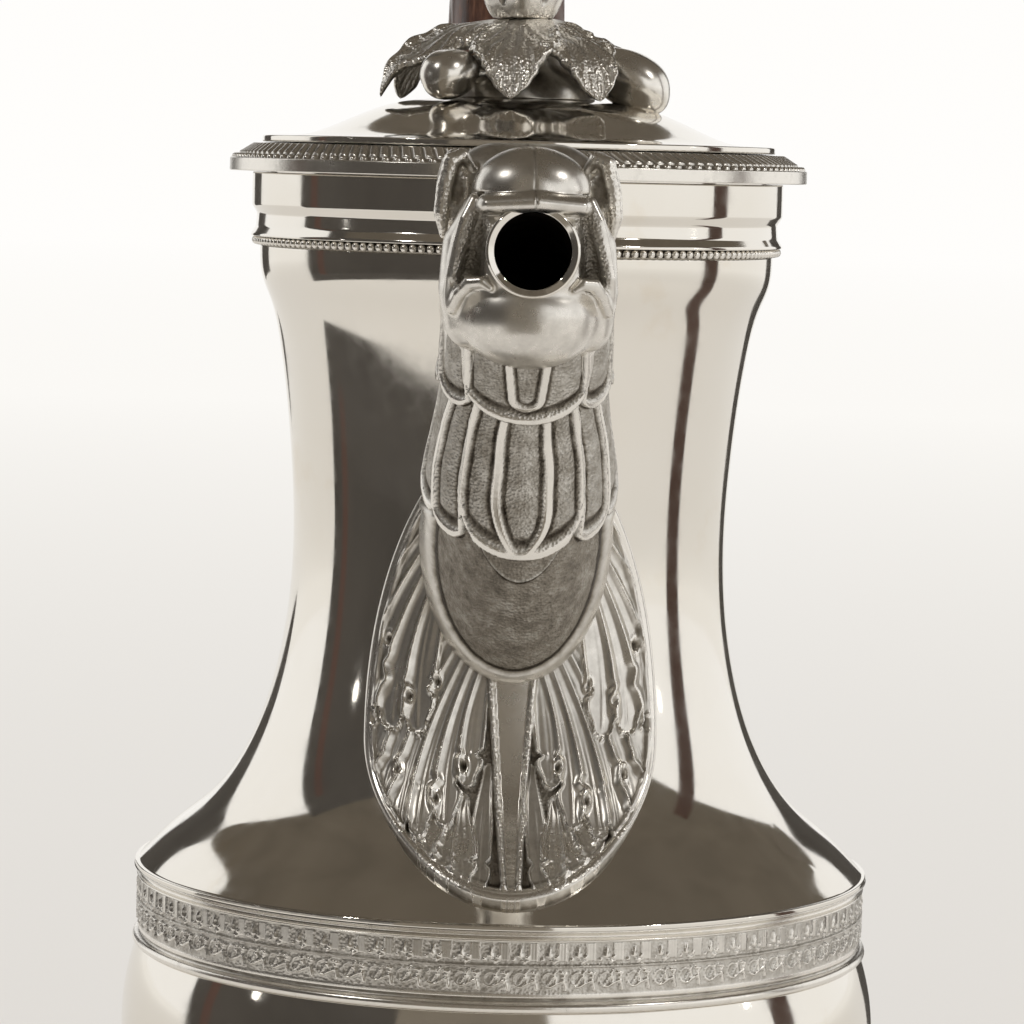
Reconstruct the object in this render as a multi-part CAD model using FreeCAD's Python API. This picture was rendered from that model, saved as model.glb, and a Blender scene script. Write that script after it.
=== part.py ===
"""Silver coffee pot on three paw feet, with an animal-head spout, a hinged lid and a wooden loop handle.

Millimetres, +Z up. The origin is on the table, on the axis of the body. The spout points to -Y and the
handle to +Y, so the lid opens backwards about an axis along X.
"""
import FreeCAD
import Part
import math
import os

V = FreeCAD.Vector
CENTRE = V(0, 0, 0)
UP = V(0, 0, 1)
ACROSS = V(1, 0, 0)
FRONT = V(0, -1, 0)
FAR = 500.0

# Sheet, castings and gaps
WALL = 0.9
CAST_WALL = 1.8
LID_GAP = 0.2
RUNNING_GAP = 0.05
HINGE_GAP = 0.25
BEZEL_GAP = 0.4

# Bowl, from its underside up to the frieze
BOWL_LIFT = 22.0
BOWL_DEPTH = 62.0
BOWL_RADIUS = 63.0
BELLY_DROP = 13.0

# Frieze round the shoulder
FRIEZE_HEIGHT = 12.8
FRIEZE_FOOT_RADIUS = 61.5
FRIEZE_FACE_RADIUS = 60.9
FRIEZE_TOP_RADIUS = 59.0
FRIEZE_SEAT_RADIUS = 58.0
FRIEZE_BEAD = 1.7
FRIEZE_COVE = 2.0

# Neck, from the shoulder ledge up to the bead ring
NECK_HEIGHT = 102.6
NECK_FOOT_RADIUS = 53.5
NECK_WAIST_RADIUS = 36.0
NECK_WAIST_LEVEL = 51.0
NECK_TOP_RADIUS = 42.5

# Bead ring and collar
BEAD_HEIGHT = 1.4
BEAD_DEPTH = 1.3
BEAD_SEAT = 0.1
COLLAR_HEIGHT = 11.9
COLLAR_RADIUS = 43.95
COLLAR_BAND = 5.4
COVE_RADIUS = 43.1
COVE_SLOPE = 1.35
FLANGE_RADIUS = 44.05
FLANGE_EDGE = 0.4
MOUTH_RADIUS = 41.8

# Lid
LID_RADIUS = 47.8
LID_RIM = 2.1
LID_BORDER_RISE = 2.7
LID_BORDER_WIDTH = 4.7
LID_SHEET = 1.1
COVER_RADIUS = 42.5
COVER_FLAT = 4.5
CROWN_RISE = 7.3
BEZEL_DROP = 5.7
BEZEL_SEAT_WIDTH = 2.2

# Finial
STUD_RADIUS = 1.5
NUT_RADIUS = 4.0
NUT_HEIGHT = 3.0
MOUND_RADIUS = 13.0
MOUND_RISE = 5.4
LEAF_REACH = 23.4
LEAF_SHOULDER = 21.2
LEAF_VALLEY = 15.0
LEAF_RISE = 13.0
LEAF_LIFT = 0.9
LEAF_SHEET = 1.3
LEAVES_PER_BUD = 2
SIDE_BUD_COUNT = 3
SIDE_BUD_TURN = -41.0
SIDE_BUD_RADIUS = 4.1
SIDE_BUD_LENGTH = 5.6
SIDE_BUD_CIRCLE = 18.0
SIDE_BUD_LIFT = 3.4
SIDE_BUD_STALK = 1.6
KNOB_RADIUS = 9.6
KNOB_HEIGHT = 28.0
KNOB_FOOT_RADIUS = 4.6

# Hinge at the back of the collar
BARREL_RADIUS = 2.2
PIN_RADIUS = 0.8
HINGE_WIDTH = 22.0
KNUCKLES = 5
BRACKET_HEIGHT = 3.8

# Spout: its centre line runs from the root, inside the neck, to the mouth; levels are above the ledge
SPOUT_REACH = 80.0
MOUTH_LEVEL = 104.3
THROAT_REACH = 60.0
BEND_REACH = 54.0
BEND_LEVEL = 60.5
ROOT_REACH = 28.0
ROOT_LEVEL = 49.5
ROOT_HALF_WIDTH = 15.4
ROOT_HALF_DEPTH = 20.0
NECKING_HALF_WIDTH = 13.0
NECKING_HALF_DEPTH = 12.0
JAW_HALF_WIDTH = 12.2
JAW_HALF_DEPTH = 12.0
MUZZLE_HALF_WIDTH = 8.8
MUZZLE_HALF_DEPTH = 9.4
HEAD_SHARE = 0.62
JAW_SHARE = 0.82
MOUTH_RING_RADIUS = 7.0
MOUTH_BORE_RADIUS = 5.8
MOUTH_RING_LENGTH = 3.6
SKULL_RADII = V(9.8, 10.5, 8.6)
SKULL_BACK = 8.6
SKULL_RISE = 7.0
EAR_RADII = V(2.3, 4.2, 7.6)
EAR_BACK = 15.5
EAR_RISE = 7.6
EAR_OUT = 11.2
CHIN_RADII = V(8.6, 5.6, 5.6)
CHIN_BACK = 6.0
CHIN_DROP = 11.2

# Leafy plate under the spout
PLATE_HALF_WIDTH = 22.8
PLATE_LEVEL = 24.8
PLATE_BELOW = 23.6
PLATE_ABOVE = 52.0
PLATE_SHEET = 1.4
PLATE_RIM = 2.4
PLATE_RIM_WIDTH = 1.5

# Strainer pierced through the neck behind the spout
STRAINER_HOLE_RADIUS = 1.4
STRAINER_PITCH = 4.4
STRAINER_COLUMNS = 3
STRAINER_ROWS = 5

# Handle: two silver sockets, the wood between them and its cross pins
SOCKET_RADIUS = 8.5
SOCKET_WALL = 1.3
SOCKET_LENGTH = 18.0
SOCKET_LIP = 0.9
SOCKET_LIP_LENGTH = 2.4
TENON_LENGTH = 9.0
UPPER_SOCKET_DROP = 18.3
UPPER_SOCKET_TILT = 32.0
LOWER_SOCKET_DROP = 14.0
LOWER_SOCKET_TILT = 24.0
HANDLE_REACH = 121.0
HANDLE_CREST_REACH = 97.0
HANDLE_CREST_LEVEL = 149.0
GRIP_HALF_WIDTH = 11.0
GRIP_HALF_DEPTH = 7.2
HANDLE_PIN_RADIUS = 1.1
HANDLE_PIN_HEAD = 0.5

# Legs: one below the spout and one on each side of the handle
LEG_COUNT = 3
FOOT_IN = 4.0
LEG_TOP_LEVEL = 56.0
LEG_TOP_IN = 5.0
KNEE_LEVEL = 36.0
KNEE_OUT = 3.5
ANKLE_LEVEL = 14.0
LEG_HALF_WIDTH = 8.6
KNEE_HALF_WIDTH = 6.8
ANKLE_HALF_WIDTH = 5.4
PAW_RADII = V(9.0, 9.4, 8.0)
PAW_LEVEL = 5.6
TOE_RADII = V(2.8, 4.8, 4.0)
TOE_COUNT = 4
TOE_ANGLE = 30.0
TOE_LEVEL = 4.2
TOE_REACH = 7.6
PALMETTE_HALF_WIDTH = 14.0
PALMETTE_LEVEL = 52.0
PALMETTE_ABOVE = 17.0
PALMETTE_BELOW = 12.0
PALMETTE_SHEET = 1.3

# Levels and radii that follow from the sizes above
Z_BELLY = BOWL_LIFT + BOWL_DEPTH - BELLY_DROP
Z_FRIEZE = BOWL_LIFT + BOWL_DEPTH
Z_SEAT = Z_FRIEZE + FRIEZE_HEIGHT
Z_LEDGE = Z_SEAT + WALL
Z_NECK_TOP = Z_LEDGE + NECK_HEIGHT
Z_MOUTH = Z_NECK_TOP + COLLAR_HEIGHT
Z_RIM = Z_MOUTH + LID_GAP
Z_BORDER = Z_RIM + LID_RIM + LID_BORDER_RISE
Z_COVER = Z_BORDER + LID_SHEET
Z_CROWN = Z_COVER + CROWN_RISE
Z_LEAVES = Z_CROWN + LEAF_RISE
Z_HINGE = Z_RIM + HINGE_GAP
HINGE_REACH = LID_RADIUS + HINGE_GAP + BARREL_RADIUS
BORDER_TOP_RADIUS = LID_RADIUS - LID_BORDER_WIDTH
BEZEL_RADIUS = MOUTH_RADIUS - BEZEL_GAP
BEAD_RADIUS = NECK_TOP_RADIUS + BEAD_SEAT
FOOT_CIRCLE = BOWL_RADIUS - FOOT_IN


# Shared helpers


def smooth(points, start, end):
    """A smooth edge through the points, leaving and arriving in the given directions."""
    leave = start / start.Length
    arrive = end / end.Length
    curve = Part.BSplineCurve()
    curve.interpolate(Points=points, InitialTangent=leave, FinalTangent=arrive, Scale=False)
    return curve.toShape()


def closed_wire(points):
    """A smooth closed wire through the points."""
    curve = Part.BSplineCurve()
    curve.interpolate(Points=points, PeriodicFlag=True)
    return Part.Wire(curve.toShape())


def around(count):
    """Evenly spaced angles round a full turn, in radians."""
    return [2 * math.pi * index / count for index in range(count)]


def spin(edges):
    """The solid made by turning a closed outline in the XZ half plane about the axis."""
    outline = Part.Wire(Part.sortEdges(edges)[0])
    return Part.Face(outline).revolve(CENTRE, UP, 360)


def spin_points(points):
    """The solid made by turning a closed polygon of (radius, level) pairs about the axis."""
    corners = [V(radius, 0, level) for radius, level in points]
    return spin(Part.makePolygon(corners + corners[:1]).Edges)


def section(centre, along, half_across, half_depth):
    """An oval wire square to a direction in the YZ plane, with one half axis along X."""
    deep = along.cross(ACROSS).normalize()
    points = []
    for angle in around(12):
        points.append(centre + ACROSS * half_across * math.cos(angle) + deep * half_depth * math.sin(angle))
    return closed_wire(points)


def ellipsoid(centre, radii):
    """A closed ellipsoid with its half axes along X, Y and Z."""
    stretch = FreeCAD.Matrix()
    stretch.scale(radii)
    ball = Part.makeSphere(1.0).transformGeometry(stretch)
    ball.translate(centre)
    return ball


def turned(shape, degrees):
    """A copy of the shape turned about the axis of the pot."""
    copy = shape.copy()
    copy.rotate(CENTRE, UP, degrees)
    return copy


def shield(half_width, level, above, below):
    """A prism towards the front whose outline is two half ovals, one above and one below a level."""
    points = []
    for angle in around(16):
        rise = above if math.sin(angle) > 0 else below
        points.append(V(half_width * math.cos(angle), 0, level + rise * math.sin(angle)))
    return Part.Face(closed_wire(points)).extrude(FRONT * FAR)


def biggest(shape):
    """The largest solid of a shape."""
    return max(shape.Solids, key=lambda solid: solid.Volume)


def save(name, shape):
    """Writes one sub-part."""
    os.makedirs("parts", exist_ok=True)
    shape.exportStep("parts/%s.step" % name)


# Bowl, frieze and neck


def bowl_radius(level, offset):
    """Radius at a level of the bowl's oval outline, grown by the offset."""
    depth = Z_BELLY - BOWL_LIFT + offset
    return (BOWL_RADIUS + offset) * math.sqrt(1 - ((level - Z_BELLY) / depth) ** 2)


def bowl_edge(offset, top):
    """The bowl's outline from the axis up to a level, grown by the offset."""
    wide = BOWL_RADIUS + offset
    depth = Z_BELLY - BOWL_LIFT + offset
    last = math.asin((top - Z_BELLY) / depth)
    steps = 7
    points = []
    for index in range(steps + 1):
        angle = -math.pi / 2 + (last + math.pi / 2) * index / steps
        points.append(V(wide * math.cos(angle), 0, Z_BELLY + depth * math.sin(angle)))
    leaving = V(-wide * math.sin(last), 0, depth * math.cos(last))
    return smooth(points, ACROSS, leaving)


def bowl_core(offset):
    """The space inside the bowl's outline, grown by the offset, as one solid."""
    edge = bowl_edge(offset, Z_FRIEZE)
    top = edge.Vertexes[-1].Point
    bottom = edge.Vertexes[0].Point
    return spin([edge] + Part.makePolygon([top, V(0, 0, top.z), bottom]).Edges)


def bowl_layer(thickness):
    """A layer of the given thickness all over the outside of the bowl."""
    outer = bowl_edge(thickness, Z_FRIEZE)
    inner = bowl_edge(0, Z_FRIEZE)
    ends = [Part.makeLine(outer.Vertexes[end].Point, inner.Vertexes[end].Point) for end in (0, -1)]
    return spin([outer, inner] + ends)


def lower_bowl():
    """The raised bowl, whose top steps in to form the seat behind the frieze."""
    inner_top = Z_FRIEZE - WALL
    seat_inside = FRIEZE_SEAT_RADIUS - WALL
    outer = bowl_edge(0, Z_FRIEZE)
    inner = bowl_edge(-WALL, inner_top)
    step = [
        outer.Vertexes[-1].Point,
        V(FRIEZE_SEAT_RADIUS, 0, Z_FRIEZE),
        V(FRIEZE_SEAT_RADIUS, 0, Z_SEAT),
        V(seat_inside, 0, Z_SEAT),
        V(seat_inside, 0, inner_top),
        inner.Vertexes[-1].Point,
    ]
    bottom = Part.makeLine(inner.Vertexes[0].Point, outer.Vertexes[0].Point)
    return spin([outer, inner, bottom] + Part.makePolygon(step).Edges)


def shoulder_frieze():
    """The ornamental band, with a fillet at its foot and a small cove at its top."""
    return spin_points([
        (FRIEZE_SEAT_RADIUS, Z_FRIEZE),
        (FRIEZE_FOOT_RADIUS, Z_FRIEZE),
        (FRIEZE_FOOT_RADIUS, Z_FRIEZE + FRIEZE_BEAD),
        (FRIEZE_FACE_RADIUS, Z_FRIEZE + FRIEZE_BEAD),
        (FRIEZE_FACE_RADIUS, Z_SEAT - FRIEZE_COVE),
        (FRIEZE_TOP_RADIUS, Z_SEAT),
        (FRIEZE_SEAT_RADIUS, Z_SEAT),
    ])


def neck_edge(offset):
    """The neck's outer line from the ledge to the bead ring, moved outwards square to itself."""
    foot = NECK_FOOT_RADIUS - NECK_WAIST_RADIUS
    head = NECK_TOP_RADIUS - NECK_WAIST_RADIUS
    rise = NECK_HEIGHT - NECK_WAIST_LEVEL
    below = ((0, 1), (0.06, 0.955), (0.19, 0.70), (0.39, 0.346), (0.655, 0.115), (1, 0))
    above = ((0.364, 0.115), (0.70, 0.455), (0.828, 0.71), (0.90, 0.93), (1, 1))
    points = []
    for up, out in below:
        points.append(V(NECK_WAIST_RADIUS + foot * out, 0, Z_LEDGE + NECK_WAIST_LEVEL * up))
    for up, out in above:
        points.append(V(NECK_WAIST_RADIUS + head * out, 0, Z_LEDGE + NECK_WAIST_LEVEL + rise * up))
    line = smooth(points, UP, UP)
    if not offset:
        return line
    moved = []
    for point in points:
        tangent = line.Curve.tangent(line.Curve.parameter(point))[0]
        moved.append(point + V(tangent.z, 0, -tangent.x) * offset)
    return smooth(moved, UP, UP)


def neck_core(offset):
    """The space inside the neck's outer line, grown by the offset, as one solid."""
    edge = neck_edge(offset)
    foot = edge.Vertexes[0].Point
    top = edge.Vertexes[-1].Point
    return spin([edge] + Part.makePolygon([top, V(0, 0, top.z), V(0, 0, foot.z), foot]).Edges)


def neck_layer(thickness):
    """A layer of the given thickness all over the outside of the neck."""
    outer = neck_edge(thickness)
    inner = neck_edge(0)
    ends = [Part.makeLine(outer.Vertexes[end].Point, inner.Vertexes[end].Point) for end in (0, -1)]
    return spin([outer, inner] + ends)


def neck_radius(level):
    """Outer radius of the neck at a level."""
    cut = neck_edge(0).Curve.intersect(Part.Plane(V(0, 0, level), UP))
    return cut[0][0].X


def strainer():
    """The drills that pierce the neck behind the spout."""
    middle = Z_LEDGE + ROOT_LEVEL + ROOT_HALF_DEPTH / 3
    drills = []
    for column in range(STRAINER_COLUMNS):
        for row in range(STRAINER_ROWS):
            across = (column - (STRAINER_COLUMNS - 1) / 2) * STRAINER_PITCH
            up = (row - (STRAINER_ROWS - 1) / 2) * STRAINER_PITCH
            start = V(across, -NECK_WAIST_RADIUS / 2, middle + up)
            drills.append(Part.makeCylinder(STRAINER_HOLE_RADIUS, NECK_WAIST_RADIUS, start, FRONT))
    return drills


def neck_shell():
    """The flared neck with a flat flange at its foot and the strainer behind the spout."""
    outer = neck_edge(0)
    inner = neck_edge(-WALL)
    flange = [
        outer.Vertexes[0].Point,
        V(FRIEZE_TOP_RADIUS, 0, Z_LEDGE),
        V(FRIEZE_TOP_RADIUS, 0, Z_SEAT),
        V(NECK_FOOT_RADIUS - WALL, 0, Z_SEAT),
        inner.Vertexes[0].Point,
    ]
    top = Part.makeLine(outer.Vertexes[-1].Point, inner.Vertexes[-1].Point)
    shell = spin([outer, inner, top] + Part.makePolygon(flange).Edges)
    return shell.cut(strainer())


def bead_ring():
    """The ring of small beads below the collar, as a rounded moulding."""
    bottom = Z_NECK_TOP
    chamfer = BEAD_HEIGHT / 4
    return spin_points([
        (BEAD_RADIUS, bottom),
        (BEAD_RADIUS + BEAD_DEPTH - chamfer, bottom),
        (BEAD_RADIUS + BEAD_DEPTH, bottom + chamfer),
        (BEAD_RADIUS + BEAD_DEPTH, bottom + BEAD_HEIGHT - chamfer),
        (BEAD_RADIUS + BEAD_DEPTH - chamfer, bottom + BEAD_HEIGHT),
        (BEAD_RADIUS, bottom + BEAD_HEIGHT),
    ])


def collar_band():
    """The stepped collar that carries the lid: bead seat, flange, cove and plain band."""
    flange = Z_NECK_TOP + BEAD_HEIGHT
    band = Z_MOUTH - COLLAR_BAND
    return spin_points([
        (MOUTH_RADIUS, Z_NECK_TOP),
        (BEAD_RADIUS, Z_NECK_TOP),
        (BEAD_RADIUS, flange),
        (FLANGE_RADIUS, flange),
        (FLANGE_RADIUS, flange + FLANGE_EDGE),
        (COVE_RADIUS, flange + FLANGE_EDGE + COVE_SLOPE),
        (COVE_RADIUS, band - COVE_SLOPE),
        (COLLAR_RADIUS, band),
        (COLLAR_RADIUS, Z_MOUTH),
        (MOUTH_RADIUS, Z_MOUTH),
    ])


# Spout and its plate


def spout_line(share):
    """Point and direction of the spout's centre line at a share of its length."""
    points = [
        V(0, -ROOT_REACH, Z_LEDGE + ROOT_LEVEL),
        V(0, -BEND_REACH, Z_LEDGE + BEND_LEVEL),
        V(0, -THROAT_REACH, Z_LEDGE + MOUTH_LEVEL),
        V(0, -SPOUT_REACH, Z_LEDGE + MOUTH_LEVEL),
    ]
    curve = Part.BezierCurve()
    curve.setPoles(points)
    return curve.value(share), curve.tangent(share)[0]


def spout_loft(stations):
    """A solid along the centre line through (share, half width, half depth) stations."""
    wires = []
    for share, half_width, half_depth in stations:
        centre, along = spout_line(share)
        wires.append(section(centre, along, half_width, half_depth))
    return Part.makeLoft(wires, True, False)


def tube_stations(shrink):
    """Sizes of the spout's tube from the root to the necking."""
    middle_width = (ROOT_HALF_WIDTH + NECKING_HALF_WIDTH) / 2
    middle_depth = (ROOT_HALF_DEPTH + NECKING_HALF_DEPTH) / 2
    return [
        (0, ROOT_HALF_WIDTH - shrink, ROOT_HALF_DEPTH - shrink),
        (HEAD_SHARE / 2, middle_width - shrink, middle_depth - shrink),
        (HEAD_SHARE, NECKING_HALF_WIDTH - shrink, NECKING_HALF_DEPTH - shrink),
    ]


def tube_bore():
    """The hollow of the spout's tube."""
    return spout_loft(tube_stations(CAST_WALL))


def spout_plate():
    """The leafy plate that fits the neck round the spout's root, with a raised rim."""
    outline = shield(PLATE_HALF_WIDTH, Z_LEDGE + PLATE_LEVEL, PLATE_ABOVE, PLATE_BELOW)
    inside = shield(
        PLATE_HALF_WIDTH - PLATE_RIM_WIDTH,
        Z_LEDGE + PLATE_LEVEL,
        PLATE_ABOVE - PLATE_RIM_WIDTH,
        PLATE_BELOW - PLATE_RIM_WIDTH,
    )
    sheet = neck_layer(PLATE_SHEET).common(outline)
    rim = neck_layer(PLATE_RIM).common(outline.cut(inside))
    return sheet.fuse(rim).cut(tube_bore())


def spout_tube(plate):
    """The curved tube of the spout, seated on the plate."""
    tube = spout_loft(tube_stations(0)).cut(tube_bore())
    return biggest(tube.cut([neck_core(PLATE_SHEET), plate]))


def head_place(back, rise, out=0.0):
    """A point of the head, back from the muzzle, above its axis and out to the side."""
    return V(out, -SPOUT_REACH + back, Z_LEDGE + MOUTH_LEVEL + rise)


def spout_head():
    """The animal head: jaws and muzzle, skull, chin and ears, with the passage through it."""
    jaws = spout_loft([
        (HEAD_SHARE, NECKING_HALF_WIDTH, NECKING_HALF_DEPTH),
        (JAW_SHARE, JAW_HALF_WIDTH, JAW_HALF_DEPTH),
        (1, MUZZLE_HALF_WIDTH, MUZZLE_HALF_DEPTH),
    ])
    passage = spout_loft([
        (HEAD_SHARE, NECKING_HALF_WIDTH - CAST_WALL, NECKING_HALF_DEPTH - CAST_WALL),
        (JAW_SHARE, MOUTH_BORE_RADIUS + CAST_WALL / 2, MOUTH_BORE_RADIUS + CAST_WALL / 2),
        (1, MOUTH_BORE_RADIUS, MOUTH_BORE_RADIUS),
    ])
    skull = ellipsoid(head_place(SKULL_BACK, SKULL_RISE), SKULL_RADII)
    chin = ellipsoid(head_place(CHIN_BACK, -CHIN_DROP), CHIN_RADII)
    ears = [ellipsoid(head_place(EAR_BACK, EAR_RISE, side * EAR_OUT), EAR_RADII) for side in (-1, 1)]
    muzzle = head_place(0, 0)
    beyond = Part.makeCylinder(FAR, FAR, muzzle, FRONT)
    return biggest(jaws.fuse([skull, chin] + ears).cut([passage, beyond]))


def spout_mouth_ring():
    """The plain ring that ends the spout."""
    muzzle = head_place(0, 0)
    ring = Part.makeCylinder(MOUTH_RING_RADIUS, MOUTH_RING_LENGTH, muzzle, FRONT)
    return ring.cut(Part.makeCylinder(MOUTH_BORE_RADIUS, MOUTH_RING_LENGTH, muzzle, FRONT))


# Hinge


def knuckle_span(index):
    """Start along X and length of one hinge knuckle."""
    pitch = HINGE_WIDTH / KNUCKLES
    return -HINGE_WIDTH / 2 + index * pitch + HINGE_GAP / 2, pitch - HINGE_GAP


def hinge_rod(radius, start, length):
    """A round bar on the hinge axis."""
    return Part.makeCylinder(radius, length, V(start, HINGE_REACH, Z_HINGE), ACROSS)


def hinge_body_leaf():
    """The bracket on the collar with its knuckles, and room for the lid's knuckles between them."""
    bracket = Part.makeBox(
        HINGE_WIDTH - HINGE_GAP,
        HINGE_REACH,
        BRACKET_HEIGHT,
        V(-(HINGE_WIDTH - HINGE_GAP) / 2, 0, Z_MOUTH - LID_GAP - BRACKET_HEIGHT),
    )
    bracket = bracket.cut(Part.makeCylinder(COLLAR_RADIUS, FAR))
    solids = [hinge_rod(BARREL_RADIUS, *knuckle_span(index)) for index in range(0, KNUCKLES, 2)]
    leaf = bracket.fuse(solids)
    for index in range(1, KNUCKLES, 2):
        start, length = knuckle_span(index)
        leaf = leaf.cut(hinge_rod(BARREL_RADIUS + HINGE_GAP, start - HINGE_GAP, length + 2 * HINGE_GAP))
    return leaf.cut(hinge_rod(PIN_RADIUS, -HINGE_WIDTH, 2 * HINGE_WIDTH))


def hinge_lid_leaf():
    """The lid's knuckles with the lugs that join them to the lid's rim."""
    rim = Part.makeCylinder(LID_RADIUS, FAR)
    leaf = None
    for index in range(1, KNUCKLES, 2):
        start, length = knuckle_span(index)
        lug = Part.makeBox(length, HINGE_REACH, LID_RIM, V(start, 0, Z_RIM)).cut(rim)
        knuckle = lug.fuse(hinge_rod(BARREL_RADIUS, start, length))
        leaf = knuckle if leaf is None else leaf.fuse(knuckle)
    return leaf.cut(hinge_rod(PIN_RADIUS + RUNNING_GAP, -HINGE_WIDTH, 2 * HINGE_WIDTH))


def hinge_pin():
    """The pin through all the knuckles."""
    return hinge_rod(PIN_RADIUS, -HINGE_WIDTH / 2, HINGE_WIDTH)


# Lid and finial


def lid_border():
    """The lid's moulded border: an upright rim, a sloping face and a flat ring under the cover."""
    inner_top = BEZEL_RADIUS - LID_SHEET
    return spin_points([
        (LID_RADIUS, Z_RIM),
        (LID_RADIUS, Z_RIM + LID_RIM),
        (BORDER_TOP_RADIUS, Z_BORDER),
        (inner_top, Z_BORDER),
        (inner_top, Z_BORDER - LID_SHEET),
        (BORDER_TOP_RADIUS - LID_SHEET / 2, Z_BORDER - LID_SHEET),
        (LID_RADIUS - LID_SHEET, Z_RIM + LID_RIM - LID_SHEET),
        (LID_RADIUS - LID_SHEET, Z_RIM),
    ])


def lid_bezel():
    """The ring that drops into the mouth, with the flange that rests on the collar."""
    inside = BEZEL_RADIUS - LID_SHEET
    return spin_points([
        (inside, Z_MOUTH - BEZEL_DROP),
        (BEZEL_RADIUS, Z_MOUTH - BEZEL_DROP),
        (BEZEL_RADIUS, Z_RIM),
        (BEZEL_RADIUS + BEZEL_SEAT_WIDTH, Z_RIM),
        (BEZEL_RADIUS + BEZEL_SEAT_WIDTH, Z_RIM + LID_SHEET),
        (BEZEL_RADIUS, Z_RIM + LID_SHEET),
        (BEZEL_RADIUS, Z_BORDER - LID_SHEET),
        (inside, Z_BORDER - LID_SHEET),
    ])


def cover_core(drop):
    """The space under the lid's domed top, lowered by the drop, down to the border."""
    flat = COVER_RADIUS - COVER_FLAT
    ogee = ((1, 0), (0.86, 0.16), (0.73, 0.45), (0.57, 0.77), (0.37, 0.93), (0, 1))
    points = [V(flat * out, 0, Z_COVER - drop + CROWN_RISE * up) for out, up in ogee]
    dome = smooth(points, -ACROSS, -ACROSS)
    rest = [points[-1], V(0, 0, Z_BORDER - WALL), V(flat, 0, Z_BORDER - WALL), points[0]]
    return spin([dome] + Part.makePolygon(rest).Edges)


def lid_cover():
    """The domed top of the lid, a flat ring that rises in an ogee to the finial."""
    flat = COVER_RADIUS - COVER_FLAT
    ring = spin_points([
        (flat, Z_BORDER), (COVER_RADIUS, Z_BORDER), (COVER_RADIUS, Z_COVER), (flat, Z_COVER),
    ])
    dome = cover_core(0).cut(cover_core(LID_SHEET))
    hole = Part.makeCylinder(STUD_RADIUS, FAR)
    return ring.fuse(dome).cut(hole).removeSplitter()


def stud_hole():
    """The hole for the finial's stud."""
    return Part.makeCylinder(STUD_RADIUS, Z_LEAVES + KNOB_HEIGHT / 2)


def finial_stud():
    """The stud that holds the finial on the lid."""
    bottom = Z_CROWN - LID_SHEET - NUT_HEIGHT
    return Part.makeCylinder(STUD_RADIUS, Z_LEAVES + KNOB_HEIGHT / 2 - bottom, V(0, 0, bottom))


def finial_nut():
    """The nut under the lid."""
    corners = []
    for angle in around(6):
        corners.append(V(NUT_RADIUS * math.cos(angle), NUT_RADIUS * math.sin(angle), 0))
    prism = Part.Face(Part.makePolygon(corners + corners[:1])).extrude(UP * (NUT_HEIGHT + LID_SHEET))
    prism.translate(V(0, 0, Z_CROWN - LID_SHEET - NUT_HEIGHT))
    return biggest(prism.common(cover_core(LID_SHEET)).cut(stud_hole()))


def leaf_core(drop):
    """The space under the drooping leaves of the finial, lowered by the drop."""
    edge = Z_CROWN - LEAF_LIFT
    rise = Z_LEAVES - edge
    droop = ((1, 0), (0.93, 0.30), (0.75, 0.62), (0.45, 0.88), (0.2, 0.98), (0, 1))
    points = [V(LEAF_REACH * out, 0, edge - drop + rise * up) for out, up in droop]
    line = smooth(points, V(-0.2, 0, 1), -ACROSS)
    rest = [points[-1], V(0, 0, edge - drop), points[0]]
    return spin([line] + Part.makePolygon(rest).Edges)


def finial_mound():
    """The low mound between the lid and the leaves."""
    foot = Part.makeCone(MOUND_RADIUS, MOUND_RADIUS / 2, MOUND_RISE, V(0, 0, Z_CROWN - LEAF_LIFT))
    skirt = Part.makeCylinder(MOUND_RADIUS, CROWN_RISE, V(0, 0, Z_CROWN - LEAF_LIFT - CROWN_RISE))
    mound = foot.fuse(skirt).cut([cover_core(0), stud_hole()])
    core = Part.makeCylinder(MOUND_RADIUS / 2, Z_LEAVES - Z_CROWN, V(0, 0, Z_CROWN - LEAF_LIFT))
    return biggest(mound.fuse(core).cut([cover_core(0), stud_hole()]).common(leaf_core(LEAF_SHEET)))


def finial_leaves():
    """The whorl of drooping leaves, cut to pointed lobes with a gap for each bud."""
    places = SIDE_BUD_COUNT * (LEAVES_PER_BUD + 1)
    step = 360.0 / places
    lobe = ((-0.3, LEAF_SHOULDER), (0, LEAF_REACH), (0.3, LEAF_SHOULDER), (0.5, LEAF_VALLEY))
    points = []
    for place in range(places):
        gap = place % (LEAVES_PER_BUD + 1) == 0
        for turn, reach in lobe:
            tip = V(0, -LEAF_VALLEY if gap else -reach, 0)
            points.append(turned(Part.Vertex(tip), SIDE_BUD_TURN + (place + turn) * step).Point)
    star = Part.Face(Part.makePolygon(points + points[:1])).extrude(UP * FAR)
    whorl = leaf_core(0).cut(leaf_core(LEAF_SHEET)).common(star)
    return biggest(whorl.cut([cover_core(0), stud_hole()]))


def finial_buds():
    """The small closed buds between the leaves, each on a stalk from the mound."""
    level = Z_CROWN + SIDE_BUD_LIFT
    radii = V(SIDE_BUD_RADIUS, SIDE_BUD_LENGTH, SIDE_BUD_RADIUS)
    bud = ellipsoid(V(0, -SIDE_BUD_CIRCLE, level), radii)
    stalk = Part.makeCylinder(SIDE_BUD_STALK, SIDE_BUD_CIRCLE, V(0, 0, level), FRONT)
    bud = biggest(bud.fuse(stalk).cut([finial_mound(), finial_leaves(), cover_core(0)]))
    step = 360.0 / SIDE_BUD_COUNT
    return Part.Compound([turned(bud, SIDE_BUD_TURN + step * index) for index in range(SIDE_BUD_COUNT)])


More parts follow.
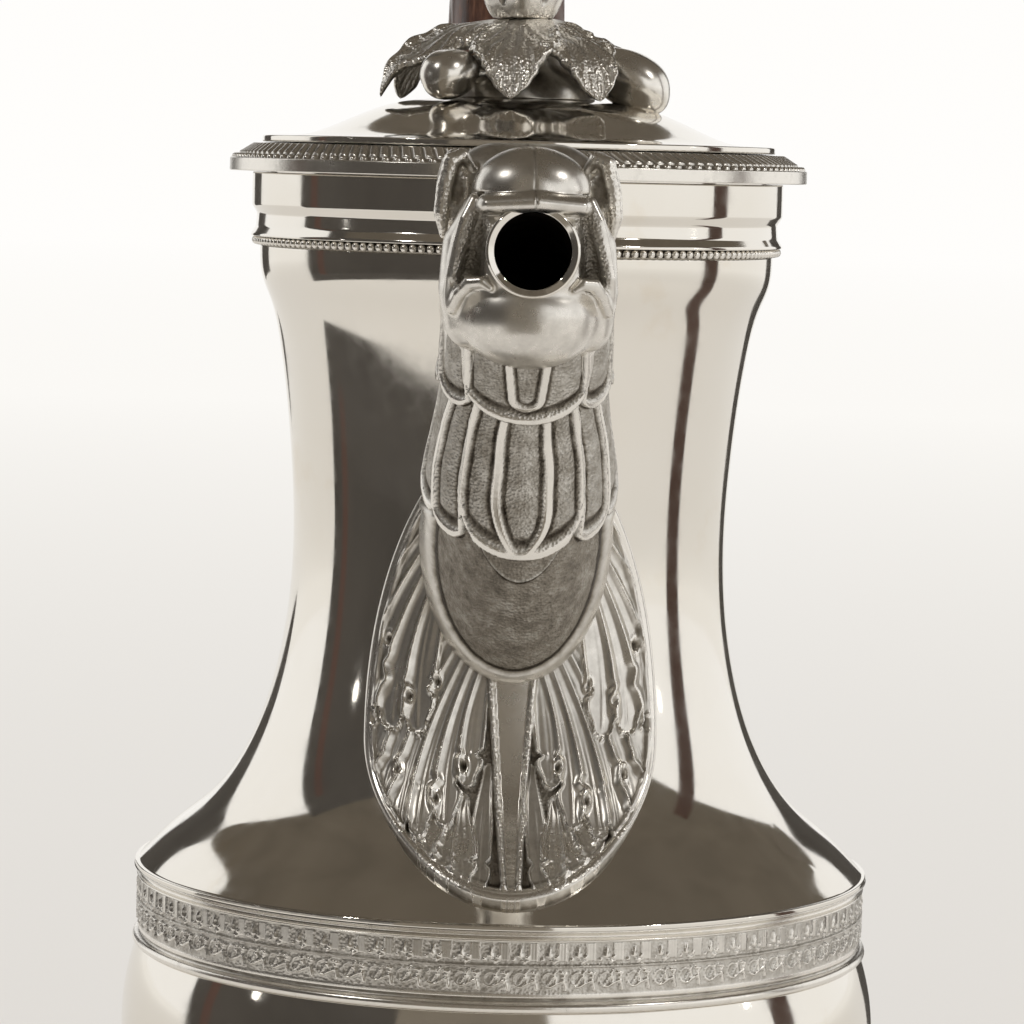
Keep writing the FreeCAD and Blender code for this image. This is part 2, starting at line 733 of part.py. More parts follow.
def finial_knob():
    """The large bud at the top of the finial, which is the lid's knob."""
    foot = V(KNOB_FOOT_RADIUS, 0, Z_LEAVES)
    swell = ((0.18, 0.72), (0.42, 1.0), (0.68, 0.84), (0.88, 0.46))
    points = [foot]
    for up, out in swell:
        points.append(V(KNOB_RADIUS * out, 0, Z_LEAVES + KNOB_HEIGHT * up))
    points.append(V(0, 0, Z_LEAVES + KNOB_HEIGHT))
    line = smooth(points, V(1, 0, 1), V(-1, 0, 0.4))
    axis = Part.makePolygon([points[-1], V(0, 0, Z_LEAVES), foot]).Edges
    return spin([line] + axis).cut(stud_hole())


# Handle


def socket_frame(upper):
    """Root on the pot and outward direction of a handle socket."""
    if upper:
        level = Z_NECK_TOP - UPPER_SOCKET_DROP
        tilt = math.radians(UPPER_SOCKET_TILT)
        root = V(0, neck_radius(level), level)
    else:
        level = Z_FRIEZE - LOWER_SOCKET_DROP
        tilt = math.radians(LOWER_SOCKET_TILT)
        root = V(0, bowl_radius(level, 0), level)
    return root, V(0, math.cos(tilt), math.sin(tilt))


def pin_rod(upper, extra):
    """The cross pin of a socket, longer than the socket is wide by the extra at each end."""
    root, along = socket_frame(upper)
    half = SOCKET_RADIUS + extra
    middle = root + along * (SOCKET_LENGTH - TENON_LENGTH / 2)
    return Part.makeCylinder(HANDLE_PIN_RADIUS, 2 * half, middle - ACROSS * half, ACROSS)


def handle_socket(upper):
    """A silver socket for one end of the wood, fitted to the pot, with a lip and a hole for its pin."""
    root, along = socket_frame(upper)
    start = root - along * SOCKET_RADIUS * 2
    body = Part.makeCylinder(SOCKET_RADIUS, SOCKET_LENGTH + SOCKET_RADIUS * 2, start, along)
    lip_start = root + along * (SOCKET_LENGTH - SOCKET_LIP_LENGTH)
    lip = Part.makeCylinder(SOCKET_RADIUS + SOCKET_LIP, SOCKET_LIP_LENGTH, lip_start, along)
    bore_start = root + along * (SOCKET_LENGTH - TENON_LENGTH)
    bore = Part.makeCylinder(SOCKET_RADIUS - SOCKET_WALL, TENON_LENGTH, bore_start, along)
    pot = neck_core(0) if upper else bowl_core(0)
    return biggest(body.fuse(lip).cut([bore, pot, pin_rod(upper, SOCKET_LIP)]).removeSplitter())


def handle_line():
    """The centre line of the wood between the two sockets."""
    top_root, top_along = socket_frame(True)
    low_root, low_along = socket_frame(False)
    start = top_root + top_along * SOCKET_LENGTH
    end = low_root + low_along * SOCKET_LENGTH
    crest = V(0, HANDLE_CREST_REACH, Z_LEDGE + HANDLE_CREST_LEVEL)
    back = (start + end) * 0.5
    back.y = HANDLE_REACH
    rise = crest - start
    fall = end - back
    points = [
        start,
        start + V(0, rise.y * 0.44, rise.z * 0.36),
        start + V(0, rise.y * 0.70, rise.z * 0.78),
        crest,
        V(0, crest.y + (back.y - crest.y) * 0.66, crest.z + (back.z - crest.z) * 0.07),
        V(0, back.y, crest.z + (back.z - crest.z) * 0.30),
        V(0, back.y, crest.z + (back.z - crest.z) * 0.62),
        V(0, back.y - fall.y * 0.02, back.z),
        V(0, back.y + fall.y * 0.11, back.z + fall.z * 0.43),
        V(0, back.y + fall.y * 0.40, back.z + fall.z * 0.77),
        end,
    ]
    return smooth(points, top_along, -low_along)


def handle_grip():
    """The wooden loop handle: oval in section, fullest at its crest, with a round tenon at each end."""
    line = handle_line()
    places = line.discretize(29)
    wires = []
    for index, place in enumerate(places):
        swell = math.sqrt(abs(math.sin(math.pi * index / (len(places) - 1))))
        half_width = SOCKET_RADIUS + (GRIP_HALF_WIDTH - SOCKET_RADIUS) * swell
        half_depth = SOCKET_RADIUS + (GRIP_HALF_DEPTH - SOCKET_RADIUS) * swell
        along = line.Curve.tangent(line.Curve.parameter(place))[0]
        wires.append(section(place, along, half_width, half_depth))
    solids = []
    for upper in (True, False):
        root, along = socket_frame(upper)
        start = root + along * (SOCKET_LENGTH - TENON_LENGTH)
        solids.append(Part.makeCylinder(SOCKET_RADIUS - SOCKET_WALL, TENON_LENGTH, start, along))
    grip = Part.makeLoft(wires, True, False).fuse(solids)
    return biggest(grip.cut([pin_rod(True, 0), pin_rod(False, 0)]))


def handle_pins():
    """The two cross pins that hold the wood in its sockets."""
    return Part.Compound([pin_rod(upper, HANDLE_PIN_HEAD) for upper in (True, False)])


# Legs


def leg():
    """The leg below the spout: a curved shank that ends in a paw with toes."""
    stations = [
        (bowl_radius(LEG_TOP_LEVEL, 0) - LEG_TOP_IN, LEG_TOP_LEVEL, LEG_HALF_WIDTH),
        (FOOT_CIRCLE + KNEE_OUT, KNEE_LEVEL, KNEE_HALF_WIDTH),
        (FOOT_CIRCLE, ANKLE_LEVEL, ANKLE_HALF_WIDTH),
        (FOOT_CIRCLE, TOE_LEVEL, ANKLE_HALF_WIDTH),
    ]
    points = [V(0, -out, level) for out, level, half in stations]
    line = smooth(points, V(0, -1, -1) * LEG_TOP_IN * 2, V(0, 0, -LEG_TOP_IN * 2)).Curve
    wires = []
    for point, (out, level, half) in zip(points, stations):
        wires.append(section(point, line.tangent(line.parameter(point))[0], half, half * 0.85))
    table = Part.makeBox(2 * FAR, 2 * FAR, FAR, V(-FAR, -FAR, -FAR))
    paw = ellipsoid(V(0, -FOOT_CIRCLE, PAW_LEVEL), PAW_RADII).cut(table)
    shape = Part.makeLoft(wires, True, False).cut(bowl_core(PALMETTE_SHEET)).fuse(paw)
    for index in range(TOE_COUNT):
        angle = math.radians((index - (TOE_COUNT - 1) / 2) * TOE_ANGLE)
        spot = V(TOE_REACH * math.sin(angle), -FOOT_CIRCLE - TOE_REACH * math.cos(angle), TOE_LEVEL)
        shape = shape.fuse(ellipsoid(spot, TOE_RADII))
    return biggest(shape)


def leg_palmette():
    """The leaf-shaped plate that joins the front leg to the bowl."""
    outline = shield(PALMETTE_HALF_WIDTH, PALMETTE_LEVEL, PALMETTE_ABOVE, PALMETTE_BELOW)
    return bowl_layer(PALMETTE_SHEET).common(outline)


def build():
    """Makes every sub-part."""
    plate = spout_plate()
    save("lower_bowl", lower_bowl())
    save("shoulder_frieze", shoulder_frieze())
    save("neck_shell", neck_shell())
    save("bead_ring", bead_ring())
    save("collar_band", collar_band())
    save("spout_plate", plate)
    save("spout_tube", spout_tube(plate))
    save("spout_head", spout_head())
    save("spout_mouth_ring", spout_mouth_ring())
    save("hinge_body_leaf", hinge_body_leaf())
    save("hinge_lid_leaf", hinge_lid_leaf())
    save("hinge_pin", hinge_pin())
    save("lid_border", lid_border())
    save("lid_bezel", lid_bezel())
    save("lid_cover", lid_cover())
    save("finial_stud", finial_stud())
    save("finial_nut", finial_nut())
    save("finial_mound", finial_mound())
    save("finial_leaves", finial_leaves())
    save("finial_buds", finial_buds())
    save("finial_knob", finial_knob())
    save("handle_socket_upper", handle_socket(True))
    save("handle_socket_lower", handle_socket(False))
    save("handle_grip", handle_grip())
    save("handle_pins", handle_pins())
    front_leg = leg()
    front_palmette = leg_palmette()
    for index, name in enumerate(("front", "right", "left")):
        turn = 360.0 / LEG_COUNT * index
        save("leg_" + name, turned(front_leg, turn))
        save("leg_palmette_" + name, turned(front_palmette, turn))


build()
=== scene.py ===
"""Looks of the silver coffee pot: polished and chased silver, dark wood, a plain studio and a camera.

Shapes are worked out in millimetres in the frame of the part and become metres where a mesh is made.
"""
import itertools
import math

import bmesh
import bpy
import numpy as np
from mathutils import Matrix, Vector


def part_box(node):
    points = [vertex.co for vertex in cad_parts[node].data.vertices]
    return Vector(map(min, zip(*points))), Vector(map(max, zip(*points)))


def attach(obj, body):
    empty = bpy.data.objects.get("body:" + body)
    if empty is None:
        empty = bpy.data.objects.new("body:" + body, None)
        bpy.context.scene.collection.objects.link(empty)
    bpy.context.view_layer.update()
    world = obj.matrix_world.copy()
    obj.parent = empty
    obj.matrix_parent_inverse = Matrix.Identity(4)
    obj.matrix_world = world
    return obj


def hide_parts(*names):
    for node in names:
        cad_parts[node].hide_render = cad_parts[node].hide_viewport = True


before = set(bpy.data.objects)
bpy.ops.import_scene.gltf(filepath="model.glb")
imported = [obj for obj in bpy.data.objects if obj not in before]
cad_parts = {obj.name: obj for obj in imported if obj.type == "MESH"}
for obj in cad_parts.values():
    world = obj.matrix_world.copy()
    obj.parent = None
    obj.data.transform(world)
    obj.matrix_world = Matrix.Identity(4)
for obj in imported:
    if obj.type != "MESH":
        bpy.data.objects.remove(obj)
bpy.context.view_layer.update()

MM = 1000.0
X, Y, Z = 0, 1, 2
CORNERS = {name: [np.array(corner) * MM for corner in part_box(name)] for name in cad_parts}


def lowest(name, axis):
    """Lowest place of a part along an axis."""
    return CORNERS[name][0][axis]


def highest(name, axis):
    """Highest place of a part along an axis."""
    return CORNERS[name][1][axis]


def middle(name, axis):
    """Middle of a part along an axis."""
    return (lowest(name, axis) + highest(name, axis)) / 2


# Levels and radii read from the frame
SHEET = 0.9
BOWL_FLOOR = lowest("lower_bowl", Z)
BOWL_RADIUS = highest("lower_bowl", X)
Z_FRIEZE = lowest("shoulder_frieze", Z)
Z_SEAT = highest("shoulder_frieze", Z)
Z_LEDGE = Z_SEAT + SHEET
FRIEZE_RADIUS = highest("shoulder_frieze", X)
Z_NECK_TOP = lowest("collar_band", Z)
Z_MOUTH = highest("collar_band", Z)
FLANGE_RADIUS = highest("collar_band", X)
LID_RADIUS = highest("lid_border", X)
Z_RIM = lowest("lid_border", Z)
Z_BORDER = highest("lid_border", Z)
COVER_RADIUS = highest("lid_cover", X)
Z_CROWN = highest("lid_cover", Z)
Z_LEAVES = highest("finial_leaves", Z)
Z_KNOB = highest("finial_knob", Z)
KNOB_RADIUS = highest("finial_knob", X)
MUZZLE = np.array([0.0, highest("spout_mouth_ring", Y), middle("spout_mouth_ring", Z)])
MOUTH_RADIUS = highest("spout_mouth_ring", X)
RING_LENGTH = highest("spout_mouth_ring", Y) - lowest("spout_mouth_ring", Y)

# How finely round pieces are divided
SPIN_STEPS = 320


# Curves and blends


def blend(low, high, value):
    """A smooth step from 0 at low to 1 at high."""
    share = np.clip((value - low) / (high - low), 0, 1)
    return share * share * (3 - 2 * share)


def mound(distance, width):
    """1 at no distance, falling smoothly to 0 at the width."""
    return 1 - blend(0, width, np.abs(distance))


def half_round(distance, width):
    """The section of a half-round wire of the given half width."""
    return np.sqrt(np.clip(1 - (distance / width) ** 2, 0, 1))


def spline(points, count, start=None, end=None):
    """Evenly parted points of a smooth curve through the given ones, with optional end directions."""
    points = np.array(points, float)
    size = len(points)
    step = np.linalg.norm(np.diff(points, axis=0), axis=1)
    knots = np.append(0, np.cumsum(step))
    matrix = np.zeros((size, size))
    right = np.zeros_like(points)
    for i in range(1, size - 1):
        before = 1 / step[i - 1]
        after = 1 / step[i]
        matrix[i, i - 1:i + 2] = before, 2 * (before + after), after
        rise = (points[i] - points[i - 1]) * before ** 2 + (points[i + 1] - points[i]) * after ** 2
        right[i] = 3 * rise
    for row, near, gap, heading in ((0, 1, step[0], start), (size - 1, size - 2, step[-1], end)):
        matrix[row, row] = 2 if heading is None else 1
        if heading is None:
            matrix[row, near] = 1
            right[row] = 3 * (points[max(row, near)] - points[min(row, near)]) / gap
        else:
            right[row] = np.array(heading, float) / np.linalg.norm(heading)
    slope = np.linalg.solve(matrix, right)
    place = np.linspace(0, knots[-1], count)
    span = np.clip(np.searchsorted(knots, place, side="right") - 1, 0, size - 2)
    width = step[span][:, None]
    t = (place - knots[span])[:, None] / width
    ends = points[span] * (1 + 2 * t) * (1 - t) ** 2 + points[span + 1] * t ** 2 * (3 - 2 * t)
    return ends + slope[span] * width * t * (1 - t) ** 2 - slope[span + 1] * width * t ** 2 * (1 - t)


def scaled(shares, start, size):
    """Places given as shares of a size, counted from a start."""
    return np.array(start) + np.array(size) * np.array(shares, float)


def rounded(corners, radius=0.16, turn=0.3):
    """A closed outline with its sharp corners rounded and a support point beside every rounding."""
    corners = np.array(corners, float)
    made = []
    for before, corner, after in zip(np.roll(corners, 1, 0), corners, np.roll(corners, -1, 0)):
        back = before - corner
        ahead = after - corner
        back_length = np.linalg.norm(back)
        ahead_length = np.linalg.norm(ahead)
        back = back / back_length
        ahead = ahead / ahead_length
        if math.acos(np.clip(-back @ ahead, -1, 1)) < turn:
            made.append(corner)
            continue
        reach = min(radius, 0.42 * back_length, 0.42 * ahead_length)
        made.append(corner + back * reach * 1.15)
        for share in (0, 0.25, 0.5, 0.75, 1):
            made.append(corner + back * reach * (1 - share) ** 2 + ahead * reach * share ** 2)
        made.append(corner + ahead * reach * 1.15)
    return np.array(made)


# Meshes: a shape is a pair of points and quads


def grid_faces(rows, cols, wrap_rows=False, wrap_cols=True):
    """Quads between the rows and columns of a grid of points."""
    row_count = rows if wrap_rows else rows - 1
    col_count = cols if wrap_cols else cols - 1
    row, col = np.meshgrid(np.arange(row_count), np.arange(col_count), indexing="ij")
    next_row = (row + 1) % rows
    next_col = (col + 1) % cols
    quads = [row * cols + col, row * cols + next_col, next_row * cols + next_col, next_row * cols + col]
    return np.stack(quads, -1).reshape(-1, 4)


def surface(points, wrap_rows=False, wrap_cols=True):
    """The shape of a grid of points, in rows and columns."""
    rows, cols = points.shape[:2]
    return points.reshape(-1, 3), grid_faces(rows, cols, wrap_rows, wrap_cols)


def joined(shapes):
    """Several shapes as one."""
    points = []
    faces = []
    count = 0
    for shape_points, shape_faces in shapes:
        points.append(shape_points)
        faces.append(shape_faces + count)
        count += len(shape_points)
    return np.concatenate(points), np.concatenate(faces)


def turned(shape, degrees):
    """A shape turned about the axis of the pot."""
    sine = math.sin(math.radians(degrees))
    cosine = math.cos(math.radians(degrees))
    turn = np.array([[cosine, -sine, 0], [sine, cosine, 0], [0, 0, 1]])
    return shape[0] @ turn.T, shape[1]


def full_turn(count):
    """Evenly parted angles of a full turn."""
    return np.linspace(0, 2 * np.pi, count, endpoint=False)


def round_axis(radius, angle, level):
    """Places round the axis of the pot, at angles from its front."""
    return np.stack(np.broadcast_arrays(radius * np.sin(angle), -radius * np.cos(angle), level), -1)


def revolved(profile, steps=SPIN_STEPS):
    """The closed shape of an outline of (radius, level) points turned about the axis of the pot."""
    radius, level = np.array(profile).T[..., None]
    return surface(round_axis(radius, full_turn(steps), level), wrap_rows=True)


def lying(points):
    """Places of an upright form laid down, with its upper end towards the front."""
    return points[:, [X, Z, Y]] * [1, -1, 1]


def oval_plate(level, below, above, half_width, rows, cols):
    """A grid over an egg-shaped plate: across, up, reach from the level, and a value of 1 at the edge."""
    turn = np.linspace(-np.pi / 2, np.pi / 2, rows)[1:-1, None]
    x = half_width * np.cos(turn) * np.linspace(-1, 1, cols)
    z = level + np.where(turn < 0, below, above) * np.sin(turn) + np.zeros(cols)
    reach = np.where(z < level, below, above)
    return x, z, reach, np.hypot(x / half_width, (z - level) / reach)


def backed(front, back, *fields):
    """The shape of a plate with a front and a back, and its fields, which are 0 on the back."""
    bare = np.zeros(back.shape[:2])
    shape = surface(np.concatenate([front, back], axis=1))
    return (shape,) + tuple(np.concatenate([field, bare], axis=1) for field in fields)


def outward(points, faces):
    """The faces, turned over if they look towards the axis of the pot."""
    centred = points - np.array([0, 0, points[:, Z].mean()])
    a, b, c, d = (centred[faces[:, k]] for k in range(4))
    volume = (np.cross(c - a, d - b) * (a + b + c + d)).sum()
    return faces if volume > 0 else faces[:, ::-1]


def weld(mesh):
    """Joins points that lie on each other, such as those on an axis."""
    work = bmesh.new()
    work.from_mesh(mesh)
    bmesh.ops.remove_doubles(work, verts=work.verts, dist=2e-6)
    bmesh.ops.dissolve_degenerate(work, edges=work.edges, dist=1e-7)
    work.to_mesh(mesh)
    work.free()


def new_object(name, data):
    """An object of the scene that shows the data."""
    made = bpy.data.objects.new(name, data)
    bpy.context.scene.collection.objects.link(made)
    return made


def piece(name, shape, body, finish, nodes=(), **fields):
    """A smooth piece that rides on a body and stands for CAD nodes; fields are values at its points."""
    points, faces = shape
    faces = outward(points, faces)
    mesh = bpy.data.meshes.new(name)
    mesh.vertices.add(len(points))
    mesh.vertices.foreach_set("co", (points / MM).astype(np.float32).ravel())
    mesh.loops.add(faces.size)
    mesh.loops.foreach_set("vertex_index", faces.astype(np.int32).ravel())
    mesh.polygons.add(len(faces))
    mesh.polygons.foreach_set("loop_start", np.arange(0, faces.size, 4, dtype=np.int32))
    mesh.update(calc_edges=True)
    for field, values in fields.items():
        layer = mesh.attributes.new(field, "FLOAT", "POINT")
        layer.data.foreach_set("value", np.asarray(values, np.float32).ravel())
    weld(mesh)
    mesh.shade_smooth()
    material, slot = finish
    mesh.materials.append(material)
    made = new_object(name, mesh)
    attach(made, body)
    if nodes:
        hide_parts(*nodes)
    return made


# Sculpted forms: a field gives the distance to a surface, below 0 inside it


def ball(points, centre, radii):
    """Distance to an ellipsoid."""
    scaled = (points - np.array(centre)) / np.array(radii)
    near = np.linalg.norm(scaled, axis=-1)
    far = np.linalg.norm(scaled / np.array(radii), axis=-1)
    return near * (near - 1) / np.maximum(far, 1e-6)


def rod(points, start, end, start_radius, end_radius=None):
    """Distance to a round bar with rounded ends, which may taper."""
    start = np.array(start, float)
    along = np.array(end, float) - start
    share = np.clip((points - start) @ along / (along @ along), 0, 1)
    radius = start_radius + ((end_radius or start_radius) - start_radius) * share
    return np.linalg.norm(points - start - share[..., None] * along, axis=-1) - radius


def chain(points, path, radii):
    """Distance to a bar along several places."""
    found = [rod(points, a, b, ra, rb) for a, b, ra, rb in zip(path, path[1:], radii, radii[1:])]
    return np.minimum.reduce(found)


def soft_union(first, second, reach):
    """Two forms run together, with a fillet of the given reach."""
    share = np.maximum(reach - np.abs(first - second), 0) / reach
    return np.minimum(first, second) - share * share * reach / 4


def soft_cut(first, second, reach):
    """The first form with the second cut out of it, with a rounded edge."""
    return -soft_union(-first, second, reach)


def net_faces(inside, number):
    """Quads round the grid edges that leave the inside, between the numbered points of the cells."""
    faces = []
    for axis in range(3):
        change = np.diff(inside.astype(np.int8), axis=axis)
        edges = np.argwhere(change != 0)
        corners = ((0, 0, 0), (0, 1, 0), (0, 1, 1), (0, 0, 1))
        quad = np.stack([number[tuple((edges - np.roll(corner, axis)).T)] for corner in corners], -1)
        rising = change[tuple(edges.T)] > 0
        quad[rising] = quad[rising][:, ::-1]
        faces.append(quad)
    return np.concatenate(faces)


def sculpted(field, low, high, step):
    """The closed shape of the surface where a field is 0, cut off at the sides of a box."""
    axes = [np.arange(a, b + step, step) for a, b in zip(low, high)]
    grid = np.stack(np.meshgrid(*axes, indexing="ij"), -1)
    middle = (grid[0, 0, 0] + grid[-1, -1, -1]) / 2
    reach = grid[-1, -1, -1] - middle - 1.2 * step

    def boxed(points):
        return np.maximum(field(points), (np.abs(points - middle) - reach).max(axis=-1))

    values = np.stack([boxed(slab) for slab in grid])
    size = tuple(n - 1 for n in values.shape)
    total = np.zeros(size + (3,))
    count = np.zeros(size)
    for axis, first, second in itertools.product(range(3), (0, 1), (0, 1)):
        start = np.roll((0, first, second), axis)
        end = np.roll((1, first, second), axis)
        near, far = (
            values[tuple(slice(o, o + n) for o, n in zip(corner, size))] for corner in (start, end)
        )
        cross = (near < 0) != (far < 0)
        share = np.divide(near, near - far, out=np.zeros(size), where=cross)
        total += cross[..., None] * start
        total[..., axis] += share
        count += cross
    cells = np.argwhere(count > 0)
    spot = tuple(cells.T)
    points = np.array(low) + step * (cells + total[spot] / count[spot][:, None])
    number = np.full(size, -1)
    number[spot] = np.arange(len(cells))
    faces = net_faces(values < 0, number)
    tiny = 0.02
    for _ in range(3):
        slope = [(boxed(points + s) - boxed(points - s)) / (2 * tiny) for s in np.eye(3) * tiny]
        slope = np.stack(slope, -1)
        move = boxed(points) / np.maximum((slope ** 2).sum(-1), 0.1)
        points = points - slope * np.clip(move, -step / 2, step / 2)[:, None]
    return points, faces


# Materials


def add(tree, kind, inputs=None, **settings):
    """Adds a shader node, with values or links for its inputs and settings of its own."""
    made = tree.nodes.new("ShaderNode" + kind)
    for key, value in settings.items():
        setattr(made, key, value)
    for key, value in (inputs or {}).items():
        if isinstance(value, bpy.types.NodeSocket):
            tree.links.new(value, made.inputs[key])
        else:
            made.inputs[key].default_value = value
    return made


def ramp(tree, value, stops):
    """A colour ramp with (place, colour) stops."""
    made = add(tree, "ValToRGB", {"Fac": value})
    points = made.color_ramp.elements
    while len(points) < len(stops):
        points.new(0.5)
    for point, (place, colour) in zip(points, stops):
        point.position = place
        point.color = tuple(colour) + (1,)
    return made.outputs["Color"]


def spread(tree, value, low, high, to_low, to_high):
    """A value moved from one range to another, held at its ends."""
    inputs = {"Value": value, "From Min": low, "From Max": high, "To Min": to_low, "To Max": to_high}
    return add(tree, "MapRange", inputs).outputs["Result"]


def noise(tree, vector, scale, detail=4.0, rough=0.55):
    """Noise in a place."""
    inputs = {"Vector": vector, "Scale": scale, "Detail": detail, "Roughness": rough}
    return add(tree, "TexNoise", inputs).outputs["Fac"]


def stretched(tree, place, scale):
    """Coordinates with a scale of their own along each axis."""
    return add(tree, "Mapping", {"Vector": place, "Scale": scale}).outputs["Vector"]


def combined(tree, first, second, operation="ADD"):
    """Two values added or multiplied."""
    return add(tree, "Math", {0: first, 1: second}, operation=operation).outputs["Value"]


def bumped(tree, height, strength, distance, below=None):
    """The normals of bumps, which may lie on top of other bumps."""
    inputs = {"Height": height, "Strength": strength, "Distance": distance}
    if below:
        inputs["Normal"] = below
    return add(tree, "Bump", inputs).outputs["Normal"]


def metal(tree, colour, rough, normal):
    """The shader of a metal."""
    inputs = {"Base Color": colour, "Metallic": 1.0, "Roughness": rough, "Normal": normal}
    return add(tree, "BsdfPrincipled", inputs)


def start_material(name):
    """An empty node material and its place coordinates in metres."""
    material = bpy.data.materials.new(name)
    material.use_nodes = True
    tree = material.node_tree
    tree.nodes.clear()
    return material, tree, add(tree, "TexCoord").outputs["Object"]


def close(tree, shader, output="OutputMaterial"):
    """Ends the nodes of a material or a world with its shader."""
    tree.links.new(shader.outputs[0], add(tree, output).inputs["Surface"])


SILVER = (0.84, 0.81, 0.755)
WARM_SILVER = (0.74, 0.66, 0.54)
# Darkest chased colour: oxide in the recesses, also used for painted shade
OXIDE_AND_SHADE = (0.075, 0.062, 0.048)
SKY = (1.0, 0.988, 0.968)


def polished_silver():
    """Old polished silver: nearly a mirror, a little wavy, with faint scratches and warm tarnish."""
    material, tree, place = start_material("polished_silver")
    tarnish = noise(tree, place, 38.0, 6.0, 0.6)
    colour = ramp(tree, tarnish, ((0.30, SILVER), (0.62, (0.82, 0.785, 0.72)), (0.80, WARM_SILVER)))
    rough = spread(tree, noise(tree, place, 260.0, 5.0, 0.65), 0.35, 0.75, 0.05, 0.13)
    waves = bumped(tree, noise(tree, place, 55.0, 1.0), 1.0, 0.00006)
    scratches = noise(tree, stretched(tree, place, (900.0, 900.0, 14000.0)), 1.0, 3.0)
    close(tree, metal(tree, colour, rough, bumped(tree, scratches, 0.5, 0.0000012, waves)))
    return material, "polished_silver"


def chased_silver():
    """Cast and chased silver: bright on raised edges, dark with oxide in the recesses, darkened with
    painted shade beside and under the spout's rims and inside the spout, stippled grounds.
    """
    material, tree, place = start_material("chased_silver")
    relief = add(tree, "Attribute", attribute_name="relief").outputs["Fac"]
    stipple = add(tree, "Attribute", attribute_name="stipple").outputs["Fac"]
    patch = noise(tree, place, 420.0, 5.0, 0.65)
    # The darkest tone stands both for oxide in the recesses and for painted shade, which the pieces put in
    # their relief fields
    wear_oxide_and_shade = combined(tree, relief, spread(tree, patch, 0.3, 0.7, -0.14, 0.14))
    colour = ramp(tree, wear_oxide_and_shade, (
        (0.05, OXIDE_AND_SHADE), (0.35, (0.33, 0.30, 0.255)), (0.62, (0.64, 0.615, 0.57)), (0.92, SILVER),
    ))
    dull = spread(tree, wear_oxide_and_shade, 0.2, 0.98, 0.50, 0.22)
    rough = combined(tree, dull, spread(tree, stipple, 0.0, 1.0, 0.0, 0.10))
    grains = add(tree, "TexVoronoi", {"Vector": place, "Scale": 1900.0, "Randomness": 0.9})
    punched = combined(tree, grains.outputs["Distance"], stipple, "MULTIPLY")
    hammered = bumped(tree, punched, 0.9, 0.00034)
    skin = bumped(tree, noise(tree, place, 1500.0, 3.0), 0.4, 0.00003, hammered)
    close(tree, metal(tree, colour, rough, skin))
    return material, "chased_silver"


def dark_wood():
    """Dark fruitwood with long grain and a waxed surface."""
    material, tree, place = start_material("dark_wood")
    grain = noise(tree, stretched(tree, place, (330.0, 60.0, 45.0)), 1.0, 7.0, 0.65)
    pores = noise(tree, stretched(tree, place, (2600.0, 260.0, 200.0)), 1.0)
    both = combined(tree, grain, spread(tree, pores, 0.35, 0.7, -0.12, 0.12))
    colour = ramp(tree, both, (
        (0.28, (0.018, 0.008, 0.005)), (0.50, (0.060, 0.023, 0.012)), (0.72, (0.125, 0.052, 0.026)),
    ))
    close(tree, add(tree, "BsdfPrincipled", {
        "Base Color": colour, "Roughness": spread(tree, pores, 0.3, 0.8, 0.26, 0.46),
        "Coat Weight": 0.25, "Coat Roughness": 0.18, "Normal": bumped(tree, both, 0.3, 0.00006),
    }))
    return material, "dark_wood"


def card_paint(name, colour):
    """Matt paint of a studio card."""
    material, tree, place = start_material(name)
    fade = ramp(tree, noise(tree, place, 3.0, 3.0), ((0.3, [0.8 * c for c in colour]), (0.7, colour)))
    close(tree, add(tree, "BsdfDiffuse", {"Color": fade}))
    return material


def floor_paper():
    """Pale studio paper, darker near the pot with painted shade, that fades to the white of the background
    away from it.
    """
    material, tree, place = start_material("floor_paper")
    away = add(tree, "VectorMath", {0: place}, operation="LENGTH").outputs["Value"]
    # Painted shade: the paper is darker near the pot and lighter further away
    far = spread(tree, away, 0.1, 3.0, 0.0, 1.0)
    grain = spread(tree, noise(tree, place, 900.0, 2.0), 0.3, 0.7, -0.01, 0.01)
    colour = ramp(tree, combined(tree, far, grain), (
        (0.0, (0.70, 0.68, 0.655)), (0.5, (0.83, 0.815, 0.79)), (1.0, (0.95, 0.94, 0.92)),
    ))
    paper = add(tree, "BsdfDiffuse", {"Color": colour}).outputs["BSDF"]
    white = add(tree, "Emission", {"Color": SKY + (1,), "Strength": 1.0}).outputs["Emission"]
    seen = add(tree, "LightPath").outputs["Is Camera Ray"]
    fade = combined(tree, seen, spread(tree, away, 0.4, 9.0, 0.0, 1.0), "MULTIPLY")
    close(tree, add(tree, "MixShader", {0: fade, 1: paper, 2: white}))
    return material


POLISHED = polished_silver()
CHASED = chased_silver()
WOOD = dark_wood()


# Bowl, neck and collar

NECK_FOOT_RADIUS = 60.6
NECK_WAIST_RADIUS = 36.0
NECK_WAIST_LEVEL = 51.0
NECK_TOP_RADIUS = 42.5
BELLY_DROP = 13.0
Z_BELLY = Z_FRIEZE - BELLY_DROP
FRIEZE_SEAT_RADIUS = 58.0
RIM_RADIUS = NECK_FOOT_RADIUS + 0.6
SPOUT_ROOT_LEVEL = Z_LEDGE + 49.5
STRAINER_LEVEL = SPOUT_ROOT_LEVEL + 20.0 / 3
STRAINER_HOLE = 1.4
STRAINER_PITCH = 4.4
DRILL_LENGTH = 60.0


